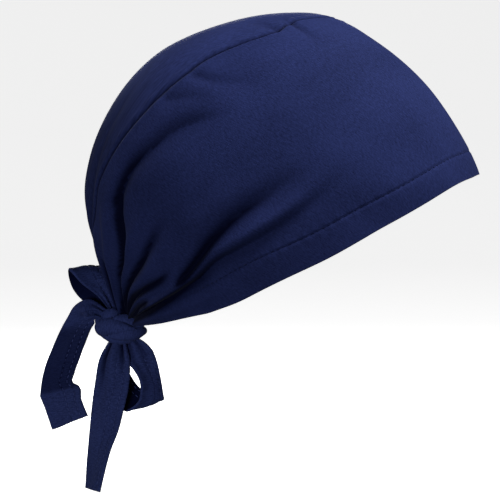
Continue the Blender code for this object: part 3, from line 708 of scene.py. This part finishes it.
def meet_knot(points, weight, gap):
    """Bring points to within a gap of the skin of the knot, by weight."""
    offset = points - knot_middle()
    distance = np.linalg.norm(offset, axis=-1)
    direction = offset / distance[..., None]
    target = knot_radius(direction)[0] + gap
    moved = distance + weight * (target - distance)
    moved = np.maximum(moved, target + KNOT_SPARE * (1.0 - np.clip(weight, 0.0, 1.0)))
    return knot_middle() + direction * moved[..., None]


def panel_heights(along):
    """Heights of the side panel and of the crown panel, from edge to edge."""
    hem = side_direction(along, np.zeros_like(along))
    seam = side_direction(along, np.ones_like(along))
    middle = crown_direction(along, np.ones_like(along))
    side_height = np.linalg.norm(on_cloth(seam) - on_cloth(hem), axis=-1)
    crown_height = np.linalg.norm(on_cloth(seam) - on_cloth(middle), axis=-1)
    return side_height, crown_height


def seam_form(distance, along):
    """Height of the seam, and its painted shade line, at a distance from it."""
    length = HEM_HALF_LENGTH * along
    wander = SEAM_ROLL_WANDER * np.sin(length / SEAM_ROLL_WANDER_LENGTH)
    uneven = 1.0 + SEAM_ROLL_UNEVEN * np.sin(length / SEAM_ROLL_LENGTH + wander)
    uneven = uneven * (1.0 - ease((along - SEAM_ROLL_END) / SEAM_ROLL_FADE))
    roll = SEAM_ROLL * uneven * bell(distance - SEAM_ROLL_PLACE, SEAM_ROLL_WIDTH)
    relief = roll - SEAM_DIP * bell(distance, SEAM_DIP_WIDTH)
    return relief, SEAM_SHADE * bell(distance, SEAM_LINE)


def carried_over(along, distance, folds, to_direction, edge, far):
    """Height that the other panel's folds have at the seam, fading away from it."""
    line = along[:, :1]
    points = on_cloth(to_direction(line, np.full_like(line, edge)))
    height = fold_relief(points, folds, to_direction, far)[0]
    return height * bell(distance, SEAM_CARRY)


def hem_height(along):
    """Height of the turned hem at a share of the side panel's half length."""
    rows = np.array(HEM_ROWS)
    return HEM_WIDTH * smooth(rows[:, 0], rows[:, 1], along)


def end_shade(along):
    """Painted shade on the panels' ends where they are drawn in to the knot."""
    return KNOT_SHADE * ease((along - KNOT_SHADE_FROM) / (1.0 - KNOT_SHADE_FROM))


def panel_form(along, direction, to_seam, own, other, far):
    """Height and painted shade of a panel: its folds, the other panel's carried over, and its seam."""
    relief, crease = fold_relief(on_cloth(direction), *own, far)
    relief += carried_over(along, to_seam, *other, far)
    seam_relief, seam_painted_shade = seam_form(to_seam, along)
    return relief + seam_relief, crease + seam_painted_shade + end_shade(along)


def panel_skins(along, direction, relief, wall, far):
    """Outer and inner points of one half of a panel, its end drawn in to the knot."""
    outer = on_cloth(direction) + direction * relief[..., None]
    outer = meet_knot(outer, ease((along - 1.0 + KNOT_REACH) / KNOT_REACH), PANEL_TO_KNOT)
    inner = outer - direction * wall[..., None]
    return (outer * MIRROR, inner * MIRROR) if far else (outer, inner)


def side_sheet(along, across, far):
    """Outer and inner points of one half of the side panel, and their painted shade."""
    side_height = panel_heights(along)[0]
    across = across * (1.0 - 0.5 * GAP / side_height)
    direction = side_direction(along, across)
    to_seam = (1.0 - across) * side_height
    other = (CROWN_FOLDS, crown_direction, 0.0)
    relief, crease = panel_form(along, direction, to_seam, (SIDE_FOLDS, side_direction), other, far)
    over_hem = across * side_height - hem_height(along)
    stitched = bell(over_hem, STITCH_GROOVE_WIDTH)
    length = HEM_HALF_LENGTH * along
    wander = PUCKER_WANDER * np.sin(length / PUCKER_WANDER_LENGTH)
    wave = np.sin(2.0 * math.pi * length / PUCKER_PITCH + wander)
    relief += PUCKER * wave * bell(over_hem, PUCKER_REACH) - STITCH_GROOVE * stitched
    wall = CLOTH + HEM_EXTRA * ease(0.5 - over_hem / HEM_STEP)
    # Painted shade in the groove of the hem's stitched line
    return *panel_skins(along, direction, relief, wall, far), crease + HEM_LINE_SHADE * stitched


def crown_sheet(along, across, far):
    """Outer and inner points of one half of the crown panel, and their painted shade."""
    crown_height = panel_heights(along)[1]
    across = np.maximum(across, 0.5 * GAP / crown_height)
    direction = crown_direction(along, across)
    other = (SIDE_FOLDS, side_direction, 1.0)
    own = (CROWN_FOLDS, crown_direction)
    relief, crease = panel_form(along, direction, across * crown_height, own, other, far)
    return *panel_skins(along, direction, relief, np.full_like(relief, CLOTH), far), crease


def seat_height():
    """Height of the head seat above the middle of the crown."""
    angle = math.acos(min(1.0, SEAT_FORWARD / profile_radius(np.array([SEAT_ANGLE]))[0]))
    top = profile_radius(np.array([math.degrees(angle)]))[0]
    return top * math.sin(angle) - CLOTH


def to_frame(points):
    """Head points (side, forward, up) to the frame, with the head seat at its origin."""
    side, forward, up = np.moveaxis(points, -1, 0)
    return np.stack([-side, SEAT_FORWARD - forward, up - seat_height()], -1)


def grid_index(points):
    """Vertex numbers of a grid of points."""
    return np.arange(points.shape[0] * points.shape[1]).reshape(points.shape[:2])


def grid_faces(index):
    """Quads of a grid of vertex numbers."""
    a = index[:-1, :-1].ravel()
    b = index[1:, :-1].ravel()
    c = index[1:, 1:].ravel()
    d = index[:-1, 1:].ravel()
    return np.stack([a, b, c, d], -1)


def add_object(name, data):
    """Put an object in the scene."""
    item = bpy.data.objects.new(name, data)
    bpy.context.scene.collection.objects.link(item)
    return item


def add_mesh(name, points, faces, material):
    """Put a smooth mesh of one material in the scene."""
    mesh = bpy.data.meshes.new(name)
    mesh.from_pydata(points, [], faces)
    mesh.materials.append(material)
    mesh.polygons.foreach_set("use_smooth", np.ones(len(faces), bool))
    mesh.update()
    return add_object(name, mesh)


def keep_cloth(item, flat, crease):
    """Keep each point's place on the flat cloth, and how much painted shade its colour gets."""
    mesh = item.data
    corner = np.zeros(len(mesh.loops), int)
    mesh.loops.foreach_get("vertex_index", corner)
    places = mesh.uv_layers.new(name="cloth")
    places.data.foreach_set("uv", flat[corner].astype(np.float32).ravel())
    depths = mesh.attributes.new("crease", "FLOAT", "POINT")
    depths.data.foreach_set("value", np.clip(crease, 0.0, 1.0).astype(np.float32))


def add_sheet(name, outer, inner, index, flat, crease, material):
    """Make one closed sheet from its two skins. Painted shade for the outer skin only is enough."""
    outer = outer.reshape(-1, 3)
    inner = inner.reshape(-1, 3)
    flat = flat.reshape(-1, 2)
    count = len(outer)
    faces = grid_faces(index)
    edges = np.concatenate([faces[:, [k, (k + 1) % 4]] for k in range(4)])
    known = set(map(tuple, edges.tolist()))
    rims = np.array([(b, a, a + count, b + count) for a, b in known if (b, a) not in known])
    rims = rims[np.lexsort(rims.T)]
    faces = np.concatenate([faces, faces[:, ::-1] + count, rims])
    points = to_frame(np.concatenate([outer, inner]))
    corners = points[faces]
    first = np.cross(corners[:, 1] - corners[:, 0], corners[:, 2] - corners[:, 0])
    if np.sum(first * corners[:, 0]) < 0.0:
        faces = faces[:, ::-1]
    if len(crease) == count:
        crease = np.concatenate([crease, np.zeros(count)])
    item = add_mesh(name, points.tolist(), faces.tolist(), material)
    keep_cloth(item, np.concatenate([flat, flat]), crease)
    return item


def flat_place(outer):
    """Place of each point of a grid on the flat cloth, in metres."""
    down = np.linalg.norm(np.diff(outer, axis=1), axis=-1)
    along = np.linalg.norm(np.diff(outer, axis=0), axis=-1)
    down = np.concatenate([np.zeros((len(outer), 1)), np.cumsum(down, axis=1)], axis=1)
    along = np.concatenate([[0.0], np.cumsum(along.max(axis=1))])
    return np.stack([np.broadcast_to(along[:, None], down.shape), down], -1)


def crowded(share):
    """Even shares from 0 to 1, crowded towards both ends."""
    return share - CROWDING * np.sin(2.0 * math.pi * share) / (2.0 * math.pi)


def build_side_panel(material):
    """Side panel, its two halves blended into one at the front."""
    steps, rows = SIDE_STEPS
    share = np.linspace(0.0, 1.0, steps // 2 + 1)
    share = share * (1.0 + SIDE_CLOSING * (1.0 - share))
    hem = (hem_height(share) / panel_heights(share)[0])[:, None]
    inside = crowded(np.linspace(0.0, 1.0, HEM_FACES + 1))[None]
    above = crowded(np.linspace(0.0, 1.0, rows - HEM_FACES + 1))[None, 1:]
    across = np.concatenate([hem * inside, hem + (1.0 - hem) * above], 1)
    along = np.repeat(share[:, None], rows + 1, axis=1)
    halves = []
    near = side_sheet(along, across, False)
    far = side_sheet(along, across, True)
    calm = ease(along[:, :, None] / FRONT_CALM)
    crease = np.concatenate([far[2][:0:-1], near[2]]).ravel()
    for mine, other in zip(near[:2], far[:2]):
        middle = 0.5 * (mine + other * MIRROR)
        mine = middle + (mine - middle) * calm
        other = middle * MIRROR + (other - middle * MIRROR) * calm
        halves.append(np.concatenate([other[:0:-1], mine]))
    outer, inner = halves
    index = grid_index(outer)
    return add_sheet("side_panel_cloth", outer, inner, index, flat_place(outer), crease, material)


def build_crown_panel(material):
    """Crown panel, its two halves sharing the points of the middle line."""
    steps, rows = CROWN_STEPS
    shares = np.linspace(0.0, 1.0, steps + 1)
    along, across = np.meshgrid(shares, np.linspace(0.0, 1.0, rows + 1) ** CROWN_CROWDING, indexing="ij")
    near_outer, near_inner, near_painted_shade = crown_sheet(along, across, False)
    far_outer, far_inner, far_painted_shade = crown_sheet(along, across, True)
    for near, far in ((near_outer, far_outer), (near_inner, far_inner)):
        near[0] = 0.5 * (near[0] + far[0] * MIRROR)
        near[:, -1] = 0.5 * (near[:, -1] + far[:, -1] * MIRROR)
    outer = np.concatenate([far_outer[:0:-1, :-1], near_outer[:, :-1]])
    inner = np.concatenate([far_inner[:0:-1, :-1], near_inner[:, :-1]])
    index = grid_index(outer)
    middle = index.size + np.abs(np.arange(-steps, steps + 1))
    index = np.concatenate([index, middle[:, None]], axis=1)
    outer = np.concatenate([outer.reshape(-1, 3), near_outer[:, -1]])
    inner = np.concatenate([inner.reshape(-1, 3), near_inner[:, -1]])
    crease = np.concatenate([far_painted_shade[:0:-1, :-1], near_painted_shade[:, :-1]]).ravel()
    crease = np.concatenate([crease, near_painted_shade[:, -1]])
    flat = outer[:, [0, 1]] - outer[:, [2, 2]] * (0.0, CROWN_FLAT_DROP)
    return add_sheet("crown_panel_cloth", outer, inner, index, flat, crease, material)


def build_seam_allowance(material):
    """Turned edges of the two panels, lying along the inside of the seam."""
    halves = []
    for far in (True, False):
        along = np.repeat(np.linspace(0.0, 1.0, SIDE_STEPS[0] // 2 + 1)[:, None], 3, axis=1)
        side_height, crown_height = panel_heights(along)
        from_edge = ALLOWANCE * np.array([[1.0, 0.5, 0.0]])
        side_part = side_sheet(along, 1.0 - from_edge / side_height, far)[1]
        crown_part = crown_sheet(along, from_edge[:, ::-1] / crown_height, far)[1]
        halves.append(np.concatenate([side_part, crown_part], axis=1))
    outer = np.concatenate([halves[0][:0:-1], halves[1]])
    inner = outer - unit(outer) * ALLOWANCE_THICKNESS
    index = grid_index(outer)
    crease = np.zeros(index.size)
    return add_sheet("seam_allowance", outer, inner, index, flat_place(outer), crease, material)


def add_stitches(name, starts, ends, outwards, material):
    """Make a row of short raised stitches, each from a start to an end on the cloth."""
    along = unit(ends - starts)
    aside = unit(np.cross(along, outwards))
    rows = []
    for share, wide, tall in STITCH_RINGS:
        middle = starts + (ends - starts) * share
        for across, up in STITCH_SECTION:
            wider = aside * (0.5 * STITCH_WIDTH * wide * across)
            higher = outwards * (STITCH_HEIGHT * (tall * up - STITCH_SINK))
            rows.append(middle + wider + higher)
    rings = len(STITCH_RINGS)
    sides = len(STITCH_SECTION)
    faces = []
    for ring in range(rings - 1):
        for k in range(sides):
            a = sides * ring + k
            b = sides * ring + (k + 1) % sides
            faces.append((a, b, b + sides, a + sides))
    faces.append(tuple(range(sides))[::-1])
    faces.append(tuple(range((rings - 1) * sides, rings * sides)))
    first = rings * sides * np.arange(len(starts))
    faces = (np.array(faces)[None] + first[:, None, None]).reshape(-1, sides)
    points = to_frame(np.stack(rows, 1).reshape(-1, 3))
    return add_mesh(name, points.tolist(), faces.tolist(), material)


def build_hem_stitches(material):
    """Stitches along the top of the turned hem, on both sides of the cap."""
    count = int(HEM_HALF_LENGTH * STITCHED_SHARE / STITCH_PITCH)
    pitch = STITCHED_SHARE / count
    threads = []
    for far in (False, True):
        first = pitch * (np.arange(count) + FIRST_STITCH)
        ends = []
        for along in (first, first + pitch * STITCH_LENGTH / STITCH_PITCH):
            across = hem_height(along) / panel_heights(along)[0]
            outer, inner = side_sheet(along[:, None], across[:, None], far)[:2]
            ends.append(outer[:, 0])
        threads.append((*ends, unit(outer[:, 0] - inner[:, 0])))
    return add_stitches("hem_stitches", *(np.concatenate(part) for part in zip(*threads)), material)


def ribbon_points(rows, steps, across):
    """Middle surface of a tape, from the rows of its two edges."""
    rows = np.array(rows) * TIE_WIDTH
    middle = 0.5 * (rows[:, :3] + rows[:, 3:])
    key = path_length(middle)
    at = np.linspace(0.0, key[-1], steps + 1)
    edges = np.stack(smooth_columns(key, rows, at), -1)
    share = np.linspace(0.0, 1.0, across + 1)[None, :, None]
    points = edges[:, None, :3] * (1.0 - share) + edges[:, None, 3:] * share
    return points[..., (2, 0, 1)] + knot_middle()


def surface_normals(points):
    """Directions square to a grid of points."""
    down = np.gradient(points, axis=0)
    across = np.gradient(points, axis=1)
    return unit(np.cross(down, across))


def tape_relief(name, share, across):
    """Height of a tie's pleats and stitched band over its flat form, and its painted shade."""
    along, over = np.meshgrid(share, across, indexing="ij")
    relief = np.zeros(along.shape)
    crease = np.zeros(along.shape)
    for middle, width, height, start, end in PLEATS[name]:
        if start == 0.0:
            fade = 1.0 - ease(along / end)
        elif end == 1.0:
            fade = ease((along - start) / (end - start))
        else:
            fade = ease((along - start) / PLEAT_FADE)
            fade = fade * (1.0 - ease((along - end + PLEAT_FADE) / PLEAT_FADE))
        form = bell(over - middle, width) * fade
        relief += height * form
        # Painted shade in the pleat's valley
        crease += max(0.0, -height) * PLEAT_SHADE * form
    length = TIE_WIDTH * along * TAPE_LENGTH
    for number, line in enumerate(BAND_LINES):
        wander = line + BAND_WANDER * np.sin(length / BAND_WANDER_LENGTH + BAND_TURN * number)
        groove = bell(over - wander, BAND_LINE_WIDTH)
        groove = groove * (1.0 - BAND_BEAT + BAND_BEAT * np.sin(2.0 * math.pi * length / STITCH_PITCH))
        relief -= BAND_DEPTH * groove
        # Painted shade in the band's groove
        crease += BAND_SHADE * groove
    low, high = BAND_LINES
    inside = ease((over - low) / ROUGH_EDGE) * ease((high - over) / ROUGH_EDGE)
    wander = ROUGH_LEAN * over + ROUGH_WANDER * np.sin(length / ROUGH_WANDER_LENGTH)
    relief += ROUGH_HEIGHT * inside * np.sin(length / ROUGH_LENGTH + wander)
    if name in TURNED_AWAY:
        start, end, strength = TURNED_AWAY[name]
        # Painted shade on the part turned away from the light, and a painted dark line at its end
        crease += strength * ease((along - start) / TURN_FADE_IN) * ease((end - along) / TURN_FADE_OUT)
        crease += TURN_LINE * bell(along - end, TURN_LINE_WIDTH)
        relief += TURN_RIDGE * bell(along - end - TURN_RIDGE_PLACE, TURN_RIDGE_WIDTH)
    rim = np.minimum(over, 1.0 - over)
    relief -= RIM_DROP * bell(rim, RIM_WIDTH)
    wave = TAPE_WAVE * np.sin(length / TAPE_WAVE_LENGTH + TAPE_WAVE_LEAN * over)
    relief += wave * ease(along / TAPE_WAVE_START) * np.sin(math.pi * over)
    return TIE_THICKNESS * relief, crease


def build_ribbon(name, rows, is_loop, material, thread):
    """One loop or tail of the bow, and the stitches along its band on both faces."""
    points = ribbon_points(rows, *RIBBON_STEPS)
    normal = surface_normals(points)
    if np.sum(normal[: len(normal) // 4, :, 0]) < 0.0:
        normal = -normal
    share = np.linspace(0.0, 1.0, points.shape[0])
    across = np.linspace(0.0, 1.0, points.shape[1])
    relief, crease = tape_relief(name, share, across)
    held = ease(1.0 - share / TIE_REACH)
    inner_skin_shade = crease
    if is_loop:
        held = held + ease(1.0 - (1.0 - share) / TIE_REACH)
        # Painted shade on the loop's inner skin, darkest halfway along
        inner_skin_shade = crease + LOOP_SHADE * np.sin(math.pi * share)[:, None] ** LOOP_SHADE_POWER
    held = np.repeat(held[:, None], points.shape[1], axis=1)
    thinning = RIM_THINNING * np.abs(2.0 * across - 1.0) ** RIM_POWER
    to_skin = normal * (0.5 * TIE_THICKNESS * (1.0 - thinning))[None, :, None]
    points = points + normal * relief[..., None]
    outer = meet_knot(points + to_skin, held, TIE_TO_KNOT)
    inner = meet_knot(points - to_skin, held, TIE_TO_KNOT)
    crease = np.concatenate([crease.ravel(), inner_skin_shade.ravel()])
    threads = []
    for line in BAND_LINES:
        for skin, facing in ((outer, normal), (inner, -normal)):
            threads.append(tape_stitches(skin, facing, line))
    index = grid_index(points)
    piece = add_sheet(name + "_cloth", outer, inner, index, flat_place(points), crease, material)
    stitches = add_stitches(name + "_stitches", *(np.concatenate(part) for part in zip(*threads)), thread)
    return piece, stitches


def tape_stitches(skin, facing, line):
    """Starts, ends and outward directions of the stitches along one line of a tie."""
    column = line * (skin.shape[1] - 1)
    low = int(column)
    share = column - low
    path = skin[:, low] * (1.0 - share) + skin[:, low + 1] * share
    outwards = unit(facing[:, low])
    length = path_length(path)
    begin = np.arange(TAPE_STITCH_START * length[-1], length[-1] - STITCH_PITCH, STITCH_PITCH)
    picked = []
    for at, values in ((begin, path), (begin + STITCH_LENGTH, path), (begin, outwards)):
        picked.append(np.stack([np.interp(at, length, values[:, k]) for k in range(3)], -1))
    start, end, out = picked
    return start, end, unit(out)


def build_knot(material):
    """Knot: rings of points round the side axis, closed by a point at each side."""
    around, down = KNOT_STEPS
    turn = np.linspace(0.0, 2.0 * math.pi, around, endpoint=False)
    tilt = np.linspace(0.0, math.pi, down + 1)[1:-1]
    turn, tilt = np.meshgrid(turn, tilt, indexing="ij")
    direction = np.stack([np.cos(tilt), np.sin(tilt) * np.cos(turn), np.sin(tilt) * np.sin(turn)], -1)
    poles = np.array([[1.0, 0.0, 0.0], [-1.0, 0.0, 0.0]])
    direction = np.concatenate([direction.reshape(-1, 3), poles])
    radius, rise = knot_radius(direction)
    points = direction * radius[:, None] + knot_middle()
    index = np.arange(around * (down - 1)).reshape(around, down - 1)
    index = np.concatenate([index, index[:1]])
    faces = grid_faces(index).tolist()
    near = len(points) - 2
    far = len(points) - 1
    for i in range(around):
        faces.append((near, int(index[i + 1, 0]), int(index[i, 0])))
        faces.append((far, int(index[i, -1]), int(index[i + 1, -1])))
    item = add_mesh("knot_cloth", to_frame(points).tolist(), faces, material)
    # Painted shade in the grooves of the knot, where the wraps rise little
    crease = KNOT_GROOVE_SHADE * (1.0 - ease(rise / (KNOT_GROOVE_SHADE_SHARE * KNOT_HEIGHT)))
    keep_cloth(item, points[:, [1, 2]], crease)
    return item


def set_inputs(node, values):
    """Set the values of a node's inputs by their names."""
    for socket, value in values.items():
        node.inputs[socket].default_value = value


def add_node(tree, kind, values, links):
    """Add a node, set some of its inputs, and link others to outputs of other nodes."""
    node = tree.nodes.new(kind)
    set_inputs(node, values)
    for socket, output in links.items():
        tree.links.new(output, node.inputs[socket])
    return node


def toned(colour, tone):
    """A colour multiplied by a tone, as a socket's four values."""
    return (colour[0] * tone[0], colour[1] * tone[1], colour[2] * tone[2], 1.0)


def weave_height(tree, place):
    """Height of the diagonal yarns with soft slubs, and the same with rows across them."""
    turned = add_node(
        tree,
        "ShaderNodeMapping",
        {"Rotation": (0.0, 0.0, math.radians(WEAVE_TURN)), "Scale": (1.0, WEAVE_STRETCH, 1.0)},
        {"Vector": place},
    ).outputs["Vector"]
    twill = add_node(tree, "ShaderNodeTexNoise", {"Scale": 1000.0, "Detail": 2.0}, {"Vector": turned})
    slub = add_node(tree, "ShaderNodeTexNoise", {"Scale": 1350.0, "Detail": 3.0}, {"Vector": place})
    yarns = {"A": twill.outputs["Fac"], "B": slub.outputs["Fac"]}
    height = add_node(tree, "ShaderNodeMix", {"Factor": 0.45}, yarns).outputs["Result"]
    lines = add_node(
        tree,
        "ShaderNodeTexWave",
        {"Scale": 290.0, "Distortion": 5.0, "Detail": 2.0, "Detail Scale": 3.0},
        {"Vector": turned},
    )
    rows = {"A": height, "B": lines.outputs["Fac"]}
    return height, add_node(tree, "ShaderNodeMix", {"Factor": 0.07}, rows).outputs["Result"]


def cloth_material(name, colour):
    """Navy woven cloth: fine diagonal weave, soft slubs, faint sheen, and painted shade read from the
    mesh.
    """
    material = bpy.data.materials.new(name)
    material.use_nodes = True
    tree = material.node_tree
    shader = tree.nodes["Principled BSDF"]
    set_inputs(shader, CLOTH_FINISH)
    flat = add_node(tree, "ShaderNodeUVMap", {}, {})
    flat.uv_map = "cloth"
    place = flat.outputs["UV"]
    height, weave = weave_height(tree, place)
    bump = add_node(tree, "ShaderNodeBump", {"Strength": 0.35, "Distance": 0.0003}, {"Height": height})
    tree.links.new(bump.outputs["Normal"], shader.inputs["Normal"])
    patch = add_node(tree, "ShaderNodeTexNoise", {"Scale": 28.0, "Detail": 3.0}, {"Vector": place})
    mottled = {"A": weave, "B": patch.outputs["Fac"]}
    tone = add_node(tree, "ShaderNodeMix", {"Factor": 0.25}, mottled)
    ramp = add_node(tree, "ShaderNodeValToRGB", {}, {"Fac": tone.outputs["Result"]})
    low, high = ramp.color_ramp.elements
    low.position = 0.35
    low.color = toned(colour, LOW_TONE)
    high.position = 0.65
    high.color = toned(colour, HIGH_TONE)
    # Painted shade: the weave's colour is mixed towards a near-black tone by the amount kept on the mesh
    painted_shade_amount = add_node(tree, "ShaderNodeAttribute", {}, {})
    painted_shade_amount.attribute_name = "crease"
    shade = add_node(tree, "ShaderNodeMix", {}, {})
    shade.data_type = "RGBA"
    factor, near, deep = (shade.inputs[k] for k in MIX_COLOUR_SOCKETS)
    deep.default_value = toned(colour, PAINTED_SHADE_TONE)
    tree.links.new(painted_shade_amount.outputs["Fac"], factor)
    tree.links.new(ramp.outputs["Color"], near)
    tree.links.new(shade.outputs[MIX_COLOUR_RESULT], shader.inputs["Base Color"])
    return material


def floor_material():
    """White that glows a little, so that the floor and its wall stay pale."""
    material = bpy.data.materials.new("studio_white")
    material.use_nodes = True
    set_inputs(material.node_tree.nodes["Principled BSDF"], FLOOR_FINISH)
    return material


def build_floor():
    """Pale floor that turns up into a pale wall all the way round, far from the cap."""
    around = FLOOR_STEPS
    points = [(0.0, 0.0, FLOOR_HEIGHT)]
    faces = [(0, 1 + i, 1 + (i + 1) % around) for i in range(around)]
    for ring, (radius, rise) in enumerate(FLOOR_RINGS):
        for i in range(around):
            turn = 2.0 * math.pi * i / around
            points.append((radius * math.cos(turn), radius * math.sin(turn), FLOOR_HEIGHT + rise))
            if ring:
                low = 1 + (ring - 1) * around
                k = (i + 1) % around
                faces.append((low + i, low + around + i, low + around + k, low + k))
    item = add_mesh("floor", points, faces, floor_material())
    item.visible_diffuse = False
    item.visible_glossy = False
    item.visible_shadow = False


def light_world():
    """Faint even light from all round."""
    world = bpy.data.worlds.new("studio")
    bpy.context.scene.world = world
    world.use_nodes = True
    set_inputs(world.node_tree.nodes["Background"], {"Color": WHITE, "Strength": WORLD_LIGHT})


def add_light(name, place, aim, size, power):
    """Round soft light, aimed at a point."""
    light = bpy.data.lights.new(name, "AREA")
    light.shape = "DISK"
    light.size = size
    light.energy = power
    item = add_object(name, light)
    item.location = place
    item.visible_camera = False
    item.rotation_euler = (Vector(aim) - Vector(place)).to_track_quat("-Z", "Y").to_euler()


def add_camera():
    """Camera that looks along the frame's +X, a little downwards."""
    elevation = math.radians(CAMERA_RISE)
    aim = Vector(CAMERA_AIM)
    away = Vector((-math.cos(elevation), 0.0, math.sin(elevation)))
    camera = bpy.data.cameras.new("camera")
    camera.sensor_width = SENSOR_WIDTH
    camera.lens = SENSOR_WIDTH * CAMERA_DISTANCE / VIEW_WIDTH
    camera.clip_end = 20.0
    item = add_object("camera", camera)
    item.location = aim + away * CAMERA_DISTANCE
    item.rotation_euler = (-away).to_track_quat("-Z", "Y").to_euler()
    bpy.context.scene.camera = item


def main():
    """Make every piece, hide the imported parts that the cloth pieces stand in for, hang the pieces on
    the root, and set up the studio.
    """
    panel_cloth = cloth_material("panel_cloth", NAVY)
    # Ties and knot: the panels' cloth painted lighter, as painted light
    lit_tie_cloth = cloth_material("lit_tie_cloth", TIE_NAVY_PAINTED_LIGHTER)
    side_panel = build_side_panel(panel_cloth)
    crown_panel = build_crown_panel(panel_cloth)
    knot = build_knot(lit_tie_cloth)
    for piece, node in ((side_panel, "side_panel"), (crown_panel, "crown_panel"), (knot, "knot")):
        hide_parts(node)
        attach(piece, "root")
    # One thread: painted lighter on the ties as painted light, painted darker on the hem as painted shade
    thread = cloth_material("thread", THREAD)
    stitches = build_hem_stitches(cloth_material("hem_thread_painted_dark", HEM_THREAD_PAINTED_DARKER))
    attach(stitches, "root")
    allowance = build_seam_allowance(panel_cloth)
    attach(allowance, "root")
    for node, rows, is_loop, length in BOW:
        piece, threads = build_ribbon(node, rows, is_loop, lit_tie_cloth, thread)
        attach(threads, "root")
        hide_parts(node)
        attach(piece, "root")
    build_floor()
    light_world()
    for name, (place, aim, size, power) in LIGHTS.items():
        add_light(name, place, aim, size, power)
    add_camera()
    bpy.context.scene.view_settings.view_transform = "Standard"


main()
bpy.context.view_layer.update()
